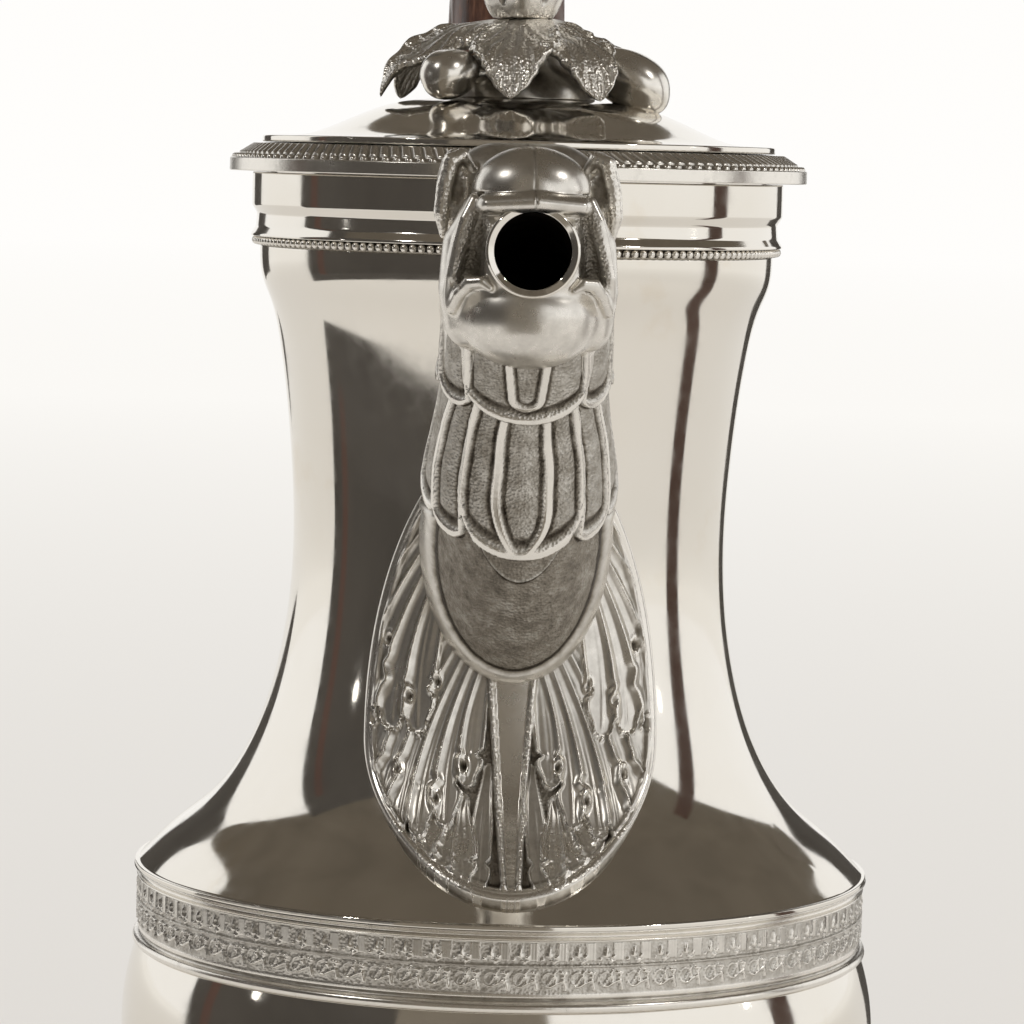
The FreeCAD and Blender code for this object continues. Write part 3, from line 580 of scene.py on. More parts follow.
def neck_line():
    """The outer line of the neck as (radius, level) points from the ledge to the bead ring."""
    waist = Z_LEDGE + NECK_WAIST_LEVEL
    below = ((1, 0), (0.79, 0.10), (0.54, 0.20), (0.264, 0.39), (0.084, 0.655), (0, 1))
    above = ((0.115, 0.364), (0.455, 0.70), (0.71, 0.828), (0.93, 0.90), (1, 1))
    lower_size = (NECK_FOOT_RADIUS - NECK_WAIST_RADIUS, NECK_WAIST_LEVEL)
    upper_size = (NECK_TOP_RADIUS - NECK_WAIST_RADIUS, Z_NECK_TOP - Z_LEDGE - NECK_WAIST_LEVEL)
    lower = scaled(below, (NECK_WAIST_RADIUS, Z_LEDGE), lower_size)
    upper = scaled(above, (NECK_WAIST_RADIUS, waist), upper_size)
    return spline(np.concatenate([lower, upper]), 150, (-1, 1), (0, 1))


NECK = neck_line()
NECK_SLOPE = np.gradient(NECK[:, 0], NECK[:, 1])


def neck_radius(level):
    """Outer radius of the neck at a level."""
    return np.interp(level, NECK[:, 1], NECK[:, 0])


def neck_point(across, level, lift):
    """A place on the front of the neck, at a distance across, lifted square off its surface."""
    slope = np.interp(level, NECK[:, 1], NECK_SLOPE)
    length = np.sqrt(1 + slope ** 2)
    radius = neck_radius(level)
    angle = np.arcsin(np.clip(across / radius, -1, 1))
    reach = radius + lift / length
    return round_axis(reach, angle, level - lift * slope / length)


def bowl_line(offset, top, count=70):
    """The bowl's oval outline from the axis up to a level, grown by the offset."""
    depth = Z_BELLY - BOWL_FLOOR + offset
    angles = np.linspace(-np.pi / 2, math.asin((top - Z_BELLY) / depth), count)
    return np.stack([(BOWL_RADIUS + offset) * np.cos(angles), Z_BELLY + depth * np.sin(angles)], -1)


def lower_bowl():
    """The raised bowl, with the seat behind the frieze."""
    seat_inside = FRIEZE_SEAT_RADIUS - SHEET
    inner_top = Z_FRIEZE - SHEET
    outline = list(bowl_line(0, Z_FRIEZE))
    outline += [(FRIEZE_SEAT_RADIUS, Z_FRIEZE), (FRIEZE_SEAT_RADIUS, Z_SEAT)]
    outline += [(seat_inside, Z_SEAT), (seat_inside, inner_top)]
    outline += list(bowl_line(-SHEET, inner_top)[::-1])
    piece("lower_bowl_skin", revolved(rounded(outline)), "pot", POLISHED, ["lower_bowl"])


def strainer_drills():
    """The bars that pierce the neck behind the spout."""
    outline = [(0.0, 0.0), (STRAINER_HOLE, 0.0), (STRAINER_HOLE, DRILL_LENGTH), (0.0, DRILL_LENGTH)]
    points, faces = revolved(outline, 20)
    drills = []
    for column, row in itertools.product((-1, 0, 1), (-2, -1, 0, 1, 2)):
        place = [column * STRAINER_PITCH, 0, STRAINER_LEVEL + row * STRAINER_PITCH]
        drills.append((lying(points) + place, faces))
    return joined(drills)


def neck_shell():
    """The flared neck with its ledge, pierced by the strainer behind the spout."""
    square = SHEET * np.stack([np.ones(len(NECK)), -NECK_SLOPE], -1)
    inner = NECK - square / np.hypot(1, NECK_SLOPE)[:, None]
    outline = [(RIM_RADIUS, Z_SEAT), (RIM_RADIUS, Z_LEDGE)]
    outline += list(NECK)
    outline += list(inner[::-1])
    outline += [(NECK_FOOT_RADIUS - SHEET, Z_SEAT)]
    made = piece("neck_skin", revolved(rounded(outline, 0.3)), "pot", POLISHED, ["neck_shell"])
    drill = piece("strainer_drill", strainer_drills(), "pot", POLISHED)
    cut = made.modifiers.new("strainer", "BOOLEAN")
    cut.operation = "DIFFERENCE"
    cut.object = drill
    cut.solver = "EXACT"
    bpy.context.view_layer.objects.active = made
    bpy.ops.object.modifier_apply(modifier=cut.name)
    bpy.data.objects.remove(drill)


COLLAR_RADIUS = 43.95
COLLAR_BAND = 5.4
COVE_RADIUS = 43.1
COVE_SLOPE = 1.35
MOUTH_WALL_RADIUS = 41.8
BEAD_HEIGHT = 1.4
BEAD_DEPTH = 1.3
BEAD_COUNT = 182
BEAD_SEAT_RADIUS = NECK_TOP_RADIUS + 0.1


def collar_band():
    """The stepped collar: bead seat, flange, cove and plain band."""
    flange = Z_NECK_TOP + BEAD_HEIGHT
    lip = flange + 0.4
    band = Z_MOUTH - COLLAR_BAND
    outline = rounded([
        (MOUTH_WALL_RADIUS, Z_NECK_TOP), (BEAD_SEAT_RADIUS, Z_NECK_TOP), (BEAD_SEAT_RADIUS, flange),
        (FLANGE_RADIUS, flange), (FLANGE_RADIUS, lip), (COVE_RADIUS + 0.15, lip + COVE_SLOPE),
        (COVE_RADIUS, band - COVE_SLOPE), (COLLAR_RADIUS, band), (COLLAR_RADIUS, Z_MOUTH),
        (MOUTH_WALL_RADIUS, Z_MOUTH),
    ], 0.25)
    piece("collar_skin", revolved(outline), "pot", POLISHED, ["collar_band"])


def bead_ring():
    """The ring of small round beads below the collar, on a narrow strip."""
    radius = BEAD_HEIGHT / 2
    circle = BEAD_SEAT_RADIUS + BEAD_DEPTH - radius
    rise = np.linspace(-np.pi / 2, np.pi / 2, 8)[:, None]
    bead = radius * round_axis(np.cos(rise), full_turn(12), np.sin(rise))
    one = surface(bead + [0, -circle, Z_NECK_TOP + radius])
    beads = [turned(one, 360.0 * index / BEAD_COUNT) for index in range(BEAD_COUNT)]
    inner, outer = circle - radius, circle - 0.1
    foot, top = Z_NECK_TOP + 0.1, Z_NECK_TOP + BEAD_HEIGHT - 0.05
    strip = revolved(rounded([(inner, foot), (outer, foot), (outer, top), (inner, top)], 0.05))
    points, faces = joined(beads + [strip])
    relief = blend(circle - 0.15, circle + 0.45, np.hypot(points[:, X], points[:, Y]))
    piece("bead_ring_beads", (points, faces), "pot", CHASED, ["bead_ring"], relief=relief)


# Frieze round the shoulder

FRIEZE_COUNT = 84
FRIEZE_PATTERN_RADIUS = 60.8
FRIEZE_PITCH = 2 * math.pi * FRIEZE_PATTERN_RADIUS / FRIEZE_COUNT
FRIEZE_DEPTH = 0.9
FRIEZE_COVE = 11.5


def to_line(x, y, start, end):
    """Distance in a plane to a straight stroke, and the share of the way along it."""
    x = x - start[0]
    y = y - start[1]
    dx = end[0] - start[0]
    dy = end[1] - start[1]
    share = np.clip((x * dx + y * dy) / (dx ** 2 + dy ** 2), 0, 1)
    return np.hypot(x - share * dx, y - share * dy), share


def ridge(x, y, start, end, width):
    """A straight ridge of the frieze, from a share of one repeat and a height to another."""
    pitch = FRIEZE_PITCH
    return mound(to_line(x, y, (start[0] * pitch, start[1]), (end[0] * pitch, end[1]))[0], width)


def dots(x, y, radius, spots):
    """Round dots of the frieze, each at a share of one repeat and a height."""
    return [half_round(np.hypot(x - share * FRIEZE_PITCH, y - up), radius) * 0.5 for share, up in spots]


def tongue_band(x, y):
    """Height of one repeat of the upper band: upright tongue, leaf tuft, dots and a slanting stroke."""
    side = np.abs(x - 0.80 * FRIEZE_PITCH)
    tongue = half_round(np.minimum(side, 0.62), 0.62) * blend(0.35, 0.7, y) * 0.25
    edges = mound(side - 0.62, 0.2) * blend(0.3, 0.6, y) * 0.36
    width = 0.85 * np.clip((3.15 - y) / 2.0, 0, 1) * blend(0.7, 1.3, y)
    tuft = mound(x - 0.36 * FRIEZE_PITCH, np.maximum(width, 1e-3)) * 0.55
    ribs = 0.10 * np.cos((x - 0.5 * y) * 9.0) * (tuft > 0.08)
    stroke = ridge(x, y, (0.36, 1.2), (0.52, 0.1), 0.22) * 0.45
    spots = dots(x, y, 0.34, ((0.14, 0.75), (0.60, 1.05), (0.55, 0.45)))
    return np.maximum.reduce([tongue, edges, tuft + ribs, stroke] + spots)


def loop_band(x, y):
    """Height of one repeat of the lower band: open loop, slanting stroke, dots and a hooked tail."""
    side = x - 0.36 * FRIEZE_PITCH
    oval = np.hypot(side / 1.05, (y - 1.95) / 1.2)
    ring = mound((oval - 1) * 1.1, 0.34) * 0.5 * (0.55 + 0.45 * blend(-1.0, 0.4, side - y + 1.9))
    stroke = ridge(x, y, (0.34, 1.2), (0.62, 3.55), 0.26) * 0.55
    tail = ridge(x, y, (0.50, 0.95), (0.86, 1.9), 0.34) * 0.42
    hook = ridge(x, y, (0.86, 1.9), (0.94, 0.25), 0.42) * 0.5
    spots = dots(x, y, 0.36, ((0.78, 3.1), (0.92, 2.95), (0.86, 2.45)))
    return np.maximum.reduce([ring, stroke, tail, hook] + spots)


def shoulder_frieze():
    """The band round the shoulder: a foot bead, a band of loops, a fillet, a band of tongues and a cove."""
    cols = FRIEZE_COUNT * 18
    around = np.arange(cols) / cols * FRIEZE_COUNT
    top = Z_SEAT - Z_FRIEZE
    up = np.linspace(0, top, 130)[:, None]
    face = FRIEZE_RADIUS - FRIEZE_DEPTH
    base = face + 0.85 * half_round(up - 0.82, 0.82) - 0.35 * mound(up - 2.05, 0.5)
    base = base + 0.42 * half_round(up - 7.4, 0.26) + 0.30 * half_round(up - 11.35, 0.2)
    cove = np.clip((up - FRIEZE_COVE) / (top - FRIEZE_COVE), 0, 1)
    base = base + ((RIM_RADIUS + 0.1 - face) * cove ** 2 - 0.5 * np.sin(np.pi * cove))
    x = (around % 1) * FRIEZE_PITCH + 0 * up
    lower = loop_band(x, (up - 3.5) * 1.08) * blend(3.3, 3.5, up) * (1 - blend(6.95, 7.15, up))
    upper = tongue_band(x, (up - 7.65) * 0.93) * blend(7.55, 7.75, up) * (1 - blend(10.95, 11.15, up))
    height = 0.8 * np.maximum(lower, upper)
    band = blend(2.9, 3.2, up) * (1 - blend(11.0, 11.25, up))
    relief = 0.95 - band * (0.36 - 0.9 * np.clip(height, 0, 0.4)) - 0.30 * band * mound(height - 0.09, 0.07)
    relief = relief - 0.55 * mound(up - 2.1, 0.45)
    angle = 2 * np.pi * around / FRIEZE_COUNT
    front = round_axis(base + height - 0.12 * band, angle, Z_FRIEZE + up)
    inside = round_axis(FRIEZE_SEAT_RADIUS, angle, np.array([[Z_SEAT], [Z_FRIEZE]]))
    shape = surface(np.concatenate([front, inside]), wrap_rows=True)
    relief = np.concatenate([relief, np.ones((2, cols))])
    stipple = np.concatenate([0.35 * band * (height < 0.06), np.zeros((2, cols))])
    piece("shoulder_frieze_relief", shape, "pot", CHASED, ["shoulder_frieze"],
          relief=relief, stipple=stipple)


# Spout: a plate of leaves, a tube with two rows of petals, and an animal head

SPOUT_LINE = np.array([
    (MUZZLE[Y] + 52.0, SPOUT_ROOT_LEVEL), (MUZZLE[Y] + 26.0, Z_LEDGE + 60.5),
    (MUZZLE[Y] + 20.0, MUZZLE[Z]), (MUZZLE[Y], MUZZLE[Z]),
])
SPOUT_SIZES = spline(
    [(0, 15.4, 17.6), (0.31, 14.2, 15.4), (0.62, 13.0, 12.0), (0.82, 12.2, 12.0), (1.0, 8.8, 9.4)], 60
)
PLATE_GROUND = 0.9
SHIELD_KEEL = 0.42


def spout_axis(share):
    """Places and headings of the spout's centre line, as arrays of (Y, Z)."""
    t = np.asarray(share, float)[..., None]
    a, b, c, d = SPOUT_LINE
    place = a * (1 - t) ** 3 + 3 * b * t * (1 - t) ** 2 + 3 * c * t ** 2 * (1 - t) + d * t ** 3
    heading = 3 * ((b - a) * (1 - t) ** 2 + 2 * (c - b) * t * (1 - t) + (d - c) * t ** 2)
    return place, heading / np.linalg.norm(heading, axis=-1, keepdims=True)


def spout_point(share, angle, lift=0.0):
    """A place on the spout's tube; the angle runs from its front, positive to the right."""
    place, heading = spout_axis(share)
    wide = np.interp(share, SPOUT_SIZES[:, 0], SPOUT_SIZES[:, 1]) + lift
    deep = np.interp(share, SPOUT_SIZES[:, 0], SPOUT_SIZES[:, 2]) + lift
    keel = SHIELD_KEEL * blend(0.42, 0.02, np.asarray(share, float))
    lower = np.cos(angle)
    down = deep * (lower * (1 + np.sign(lower) * keel) - keel)
    y = place[..., 0] - heading[..., 1] * down
    z = place[..., 1] + heading[..., 0] * down
    return np.stack([wide * np.sin(angle), y, z], -1)


def spout_seam(angles):
    """The share along the spout at which its tube leaves the plate, for each angle."""
    shares = np.linspace(0, 0.6, 500)
    points = spout_point(shares[:, None], angles[None, :])
    beyond = np.hypot(points[..., X], points[..., Y]) - neck_radius(points[..., Z]) - PLATE_GROUND
    last = len(shares) - 1 - np.argmax(beyond[::-1] < 0, axis=0)
    return shares[last]


PETAL_RADIUS = 13.4
SHARE_LENGTH = 78.0
SIDE_RIM = 0.70
EDGE_RIM = 1.35
TUBE_TOP = 0.77
TUBE_WALL = 3.2


def petal_row(share, degrees, bounds, bottom, reach, scallop, ribs=()):
    """Height, rim, groove and cover of a row of petals that hang from the head end of the spout.

    Bounds are the angles between petals on one side, from the front; bottom is the share where they end
    and reach their length; ribs are angles of rims inside the middle petal that meet at its bottom.
    """
    up = np.clip((share - bottom) / reach, 0, 1)
    wobble = 0.35 * np.sin(share * 64.0 + 1.0)
    swollen = (degrees + wobble) / (0.88 + 0.13 * np.sin(np.pi * up))
    across = np.abs(swollen)
    to_side = np.full(share.shape, 1e3)
    to_edge = np.full(share.shape, -1e3)
    edges = [-bounds[0]] + list(bounds)
    for low, high in zip(edges, edges[1:]):
        half = (high - low) / 2
        spot = swollen if low < 0 else across
        q = (spot - (low + high) / 2) / half
        here = np.abs(q) <= 1
        edge = bottom + scallop * (1 - np.sqrt(np.clip(1 - np.abs(q) ** 2.2, 0, 1))) * min(half / 38.0, 1.0)
        to_edge = np.where(here, (share - edge) * SHARE_LENGTH, to_edge)
        to_side = np.where(here, (1 - np.abs(q)) * math.radians(half) * PETAL_RADIUS, to_side)
    for rib in ribs:
        bow = rib * (1 - (1 - np.clip(up / 0.36, 0, 1)) ** 2.4)
        to_side = np.minimum(to_side, np.abs(across - bow) * math.radians(1) * PETAL_RADIUS)
    near = np.minimum(to_side / SIDE_RIM, to_edge / EDGE_RIM)
    on = blend(-0.12, 0.12, to_edge)
    rim = (1 - blend(0.7, 1.15, near)) * on
    groove = mound(near - 1.6, 0.75) * on
    height = on * (0.75 + 0.55 * rim - 0.32 * groove + 0.25 * blend(1.5, 5.0, near))
    return height, rim, groove, on


def seam_distance(points, seam):
    """Distance of places on the tube from the seam with the plate, as seen from the front."""
    seam = seam[:, [X, Z]]
    rows = points[..., None, [X, Z]]
    return np.array([np.linalg.norm(row - seam, axis=-1).min(axis=1) for row in rows])


def throat_loop(share, degrees):
    """Distance from the line of the small loop that hangs under the chin."""
    y = (share - 0.607) * SHARE_LENGTH
    x = np.radians(np.abs(degrees)) * PETAL_RADIUS - 0.10 * np.maximum(y, 0)
    return np.hypot(x, np.minimum(y, 0)) - 2.2


def tube_ornament(share, degrees, run):
    """Height, relief and stipple of shield and petals; run is the distance from the seam with the plate."""
    low_height, low_rim, low_groove, low_on = petal_row(
        share, degrees, (40, 68, 100, 140, 200), 0.302, 0.26, 0.055, (16,))
    top_height, top_rim, top_groove, top_on = petal_row(
        share, degrees, (44, 82, 122, 200), 0.546, 0.30, 0.060)
    to_crescent = (share - 0.255 - 0.048 * (degrees / 24) ** 2) * SHARE_LENGTH
    crescent = blend(-0.1, 0.1, to_crescent) * (np.abs(degrees) < 40)
    crescent_edge = mound(to_crescent - 0.25, 0.3) * (1 - low_on)
    loop = throat_loop(share, degrees)
    under_chin = top_on * (np.abs(degrees) < 30)
    loop_wire = (1 - blend(0.40, 0.65, np.abs(loop))) * under_chin
    loop_groove = mound(np.abs(loop) - 0.90, 0.4) * under_chin
    frame_wire = half_round(run - 0.95, 0.95) * blend(104, 92, np.abs(degrees))
    height = 0.9 * frame_wire + 0.45 * crescent + 0.2 * crescent_edge - 1.75 * blend(0.30, 0.56, share)
    height = height + low_height * (1 - top_on) + top_on * (0.9 + top_height)
    height = height + 0.5 * loop_wire - 0.2 * loop_groove - 1.2 * blend(0.70, 0.75, share)
    bright = np.maximum.reduce([frame_wire, low_rim * (1 - top_on), top_rim, loop_wire])
    groove_oxide_and_shade = np.maximum.reduce([low_groove * (1 - top_on), top_groove, loop_groove])
    # Painted shade: a dark line just below the lower edge of each row of petals
    under = np.zeros_like(share)
    for on in (low_on, top_on):
        under = np.maximum(under, np.clip(np.roll(on, -3, axis=0) - on, 0, 1))
    # Grooves beside the rims are darkened with oxide and with painted shade; the lines beside the shield's
    # wire, at the seam with the plate and just below the crescent's edge are painted shade
    relief = 0.50 + 0.46 * bright - 0.40 * groove_oxide_and_shade * (1 - bright) - 0.5 * under
    relief = relief - 0.40 * mound(run - 2.2, 0.4) - 0.5 * mound(run + 0.2, 0.3) - 0.16 * (1 - low_on)
    relief = relief + 0.25 * crescent_edge - 0.35 * mound(to_crescent + 0.35, 0.35) * (1 - low_on)
    return height, relief, (1 - bright) * blend(2.0, 2.3, run)


def spout_tube():
    """The curved tube: a stippled shield with a bright rim, and two rows of hanging petals above it."""
    angle = np.linspace(-np.pi, np.pi, 384, endpoint=False)
    degrees = np.degrees(angle)
    seam = spout_seam(angle)
    v = np.linspace(-0.03, 1, 330)[:, None]
    share = seam + (TUBE_TOP - seam) * v
    front_seam = spout_point(seam, angle)[np.abs(degrees) < 100]
    run = seam_distance(spout_point(share, angle), front_seam) * np.where(v < 0, -1, 1)
    height, relief, stipple = tube_ornament(share, degrees, run)
    inner_share = np.maximum(np.linspace(TUBE_TOP, 0.0, 24)[:, None], seam)
    inner = spout_point(inner_share, angle, -TUBE_WALL)
    points = np.concatenate([spout_point(share, angle, height), inner])
    # Painted shade: the inside wall of the tube is dark
    relief = np.concatenate([relief, 0.15 + 0 * inner_share])
    stipple = np.concatenate([stipple, 0 * inner_share])
    shape = surface(points, wrap_rows=True)
    piece("spout_tube_petals", shape, "pot", CHASED, ["spout_tube"], relief=relief, stipple=stipple)


HEAD_TURN = 0.05


def straightened(points):
    """Places with the head's slight turn taken out and brought to one side, because both are alike."""
    x, y, z = np.moveaxis(points, -1, 0)
    return np.stack([np.abs(x - HEAD_TURN * y * blend(-14, -6, z)), y, z], -1)


def flat_rod(p, depth, start, end, *radii):
    """Distance to a bar that is drawn out from front to back."""
    flat = np.array([1, depth, 1])
    return rod(p * flat, start * flat, end * flat, *radii)


def throat_path(start, end, count):
    """Places on the spout's centre line, seen from the muzzle."""
    return [(0, MUZZLE[Y] - y, z - MUZZLE[Z]) for y, z in spout_axis(np.linspace(start, end, count))[0]]


EAR_RIM = ((8.6, -10.2, 12.0), (10.0, -9.7, 13.7), (11.6, -9.4, 12.9), (12.5, -9.3, 9.4), (13.0, -9.4, 5.2),
           (12.6, -9.7, 1.9))


def head_ear(p):
    """One upright ear, an upturned leaf with a rolled edge and a hollow towards the front."""
    ear = ball(p, (11.0, -13.2, 8.0), (2.7, 3.9, 6.8))
    ear = soft_union(ear, chain(p, EAR_RIM, [0.7, 1.1, 1.35, 1.35, 1.2, 0.6]), 0.7)
    return soft_cut(ear, head_ear_hollow(p), 0.5)


def head_ear_hollow(p):
    """The hollow in the front of an ear."""
    return chain(p, ((9.5, -8.6, 11.6), (10.3, -8.6, 8.4), (10.9, -8.5, 4.6)), [1.1, 1.1, 0.5])


def head_cheek(p):
    """The hollow of one cheek beside the mouth."""
    return flat_rod(p, 0.38, (7.9, 1.5, 5.0), (9.3, 0.5, -3.7), 1.4, 2.2)


def head_bore(p):
    """The passage from the mouth down into the tube."""
    return chain(p, [(0, 12, 0)] + throat_path(1.0, 0.60, 7), [5.75, 5.75, 5.75, 6.3, 7.2, 8.4, 9.4, 10.2])


def rounded_box(p, centre, half, corner):
    """Distance to a block with rounded edges."""
    away = np.abs(p - np.array(centre)) - np.array(half) + corner
    return np.linalg.norm(np.maximum(away, 0), axis=-1) + np.minimum(away.max(axis=-1), 0) - corner


def head_hood(p):
    """The skull, the sides of the face and the throat, which run down into the tube."""
    throat = chain(p * [0.90, 1, 1], throat_path(0.60, 0.86, 4), [11.7, 11.6, 11.4, 10.6])
    skull = rounded_box(p, (0, -16.0, 4.2), (11.8, 7.6, 11.6), 7.4)
    face = rounded_box(p, (0, -8.0, -2.2), (9.4, 6.6, 10.2), 3.0)
    jowl_line = [(7.6, -5.6, 5.6), (9.3, -6.0, 0.5), (9.5, -6.0, -6.0), (8.6, -6.6, -11.0)]
    field = soft_union(soft_union(throat, skull, 3.0), face, 1.5)
    return soft_union(field, chain(p, jowl_line, [2.6, 3.6, 3.9, 4.0]), 2.0)


def head_lip(p):
    """The roll of the upper lip over the mouth."""
    return flat_rod(p, 0.47, (0, 1.0, 7.2), (6.9, -0.2, 6.7), 1.85, 1.6)


def head_field(p):
    """The animal head, from its muzzle: across, forwards and up."""
    p = straightened(p)
    field = head_hood(p)
    field = soft_union(field, rod(p, (0, -8, 0), (0, -6.0, 0), 7.4), 0.6)
    field = soft_cut(field, head_cheek(p), 0.6)
    bone = [(8.6, -2.6, 7.2), (9.9, -2.0, 4.4), (10.9, -1.8, 0.4), (11.7, -2.0, -4.0), (12.0, -3.0, -8.0)]
    field = soft_union(field, chain(p, bone, [0.9, 1.0, 1.0, 1.0, 0.8]), 1.3)
    field = soft_union(field, ball(p, (0, -6.0, -9.7), (10.7, 9.2, 8.1)), 0.8)
    fold = [(11.7, -2.6, -9.0), (10.7, -1.0, -6.6), (9.2, 0.2, -4.9), (7.5, 1.2, -4.7), (6.3, 1.6, -5.6)]
    field = soft_union(field, chain(p, fold, [0.7, 0.95, 1.05, 0.9, 0.5]), 0.9)
    dome = soft_cut(ball(p, (0, -4.6, 8.9), (8.7, 7.0, 6.5)), p[..., 2] - 8.4, 0.5)
    field = soft_union(field, dome, 0.25)
    field = soft_union(field, head_lip(p), 0.3)
    seam = mound(p[..., 0], 0.25) * blend(5.6, 6.2, p[..., 2]) * blend(-9, -7, p[..., 1])
    field = field + 0.12 * seam
    field = soft_union(field, head_ear(p), 0.4)
    return soft_cut(field, head_bore(p), 0.2)


def spout_head():
    """The animal head that ends the spout."""
    points, faces = sculpted(head_field, (-16.0, -25.0, -21.0), (16.0, 5.2, 17.2), 0.25)
    low = straightened(points)
    in_ear = blend(0.5, 0.1, np.abs(head_ear(low))) * (low[:, 2] > 0.5) * blend(8.6, 9.4, low[:, 0])
    ear_hollow = blend(0.6, 0.1, np.abs(head_ear_hollow(low))) * in_ear
    cheek = blend(0.7, 0.1, np.abs(head_cheek(low))) * (low[:, 1] < 0.3)
    bore = blend(0.6, 0.1, np.abs(head_bore(low))) * (low[:, 1] < 0.5)
    behind = blend(-6.5, -9.0, low[:, 1]) * (1 - in_ear) * blend(9.0, 11.0, low[:, 2])
    seam = mound(low[:, 0], 0.3) * blend(5.6, 6.2, low[:, 2])
    relief = 0.78 + 0.12 * in_ear - 0.26 * cheek - 0.62 * ear_hollow
    # Painted shade: the bore into the tube is darkened
    relief = relief - 0.9 * bore - 0.20 * behind - 0.3 * seam
    stipple = np.maximum(in_ear * 0.25, cheek * 0.9)
    shape = points * [1, -1, 1] + MUZZLE, faces
    piece("spout_head_form", shape, "pot", CHASED, ["spout_head"], relief=relief, stipple=stipple)


def spout_mouth_ring():
    """The plain ring at the mouth, with a broad bevel towards its bore."""
    bore = 5.6
    back = -0.6
    bevel = RING_LENGTH - 1.1
    points, faces = revolved(rounded([
        (bore, bevel - 0.4), (bore + 0.15, bevel), (MOUTH_RADIUS - 0.35, bevel + 0.4),
        (MOUTH_RADIUS, bevel + 0.1), (MOUTH_RADIUS + 0.05, back), (bore, back),
    ], 0.12), 160)
    piece("spout_mouth_rim", (lying(points) + MUZZLE, faces), "pot", POLISHED, ["spout_mouth_ring"])


# Plate of acanthus leaves under the spout

PLATE_HALF_WIDTH = highest("spout_plate", X)
PLATE_LEVEL = Z_LEDGE + 24.8
PLATE_BELOW = 22.6
PLATE_ABOVE = 52.0
PLATE_RIM_WIDTH = 1.9

# Leaves on one half of the plate, as distances across and heights above the ledge
UPPER_ROOT = (9.5, 55.3)
LOWER_ROOT = (3.7, 37.7)
FOOT_ROOT = (7.2, 16.3)
BLADE_ROOT = (3.2, 21.3)
UPPER_TIPS = ((14.1, 27.3), (18.0, 27.7), (21.3, 30.9), (21.6, 38.8), (20.8, 46.8), (18.2, 55.3))
LOWER_TIPS = ((6.4, 19.5), (9.8, 13.3), (13.9, 11.5), (17.0, 11.9), (19.4, 15.7), (20.8, 21.3))
FOOT_TIPS = ((7.2, 5.2), (10.2, 5.5), (12.8, 7.7))
BLADE_TIPS = ((4.8, 3.5),)
EYELETS = ((11.6, 34.6), (15.6, 31.9), (18.8, 40.6), (7.2, 21.5), (11.5, 16.3), (17.2, 20.3))


def finger(x, z, root, tip, half, bow):
    """Share of the way from the middle to the side of one leaf finger, which bows out to a lobed tip."""
    root = np.array(root, float)
    tip = np.array(tip, float)
    span = tip - root
    knee = (root + tip) / 2 + np.array([-span[1], span[0]]) * bow
    t = np.linspace(0, 1, 25)[:, None]
    path = root * (1 - t) ** 2 + 2 * knee * t * (1 - t) + tip * t ** 2
    best = np.full(x.shape, 1e9)
    along = np.zeros(x.shape)
    for index in range(len(path) - 1):
        distance, share = to_line(x, z, path[index], path[index + 1])
        along = np.where(distance < best, (index + share) / (len(path) - 1), along)
        best = np.minimum(best, distance)
    width = half * (0.45 + 0.55 * blend(0.0, 0.6, along))
    width = width * (1 - 0.40 * mound(along - 0.79, 0.05))
    width = width * np.sqrt(1 - 0.70 * blend(0.86, 1.0, along))
    return best / width, along


def leaf(x, z, tips, root, half, bow, shift):
    """Height, cover and bright edges of a leaf whose fluted fingers meet in fine ridges."""
    first = np.full(x.shape, 9.0)
    second = np.full(x.shape, 9.0)
    along = np.zeros(x.shape)
    for index, tip in enumerate(tips):
        start = (root[0] + shift[0] * index, root[1] + shift[1] * index)
        q, share = finger(x, z, start, tip, half, bow)
        closer = q < first
        second = np.where(closer, first, np.minimum(second, q))
        along = np.where(closer, share, along)
        first = np.where(closer, q, first)
    on = blend(1.0, 0.9, first)
    between = np.clip(2 * first / (first + second), 0, 1) * blend(1.7, 1.1, second)
    outline = blend(0.66, 0.88, first) * blend(0.95, 1.2, second)
    edges = np.maximum(blend(0.80, 0.98, between), outline) * on
    flute = np.maximum(between ** 2.2, 0.8 * outline)
    body = 0.42 + 0.72 * flute + 0.10 * mound(first, 0.16) * blend(0.2, 0.5, along)
    return on * body * (0.50 + 0.60 * blend(0.1, 0.9, along)), on, edges, along


LEAVES = (
    (BLADE_TIPS, BLADE_ROOT, 1.9, 0.02, (0, 0), 0.66),
    (FOOT_TIPS, FOOT_ROOT, 2.7, 0.04, (0.5, 0.4), 0.84),
    (LOWER_TIPS, LOWER_ROOT, 2.6, 0.09, (0.9, 1.6), 0.70),
    (UPPER_TIPS, UPPER_ROOT, 2.9, 0.10, (0.7, 1.8), 0.74),
)


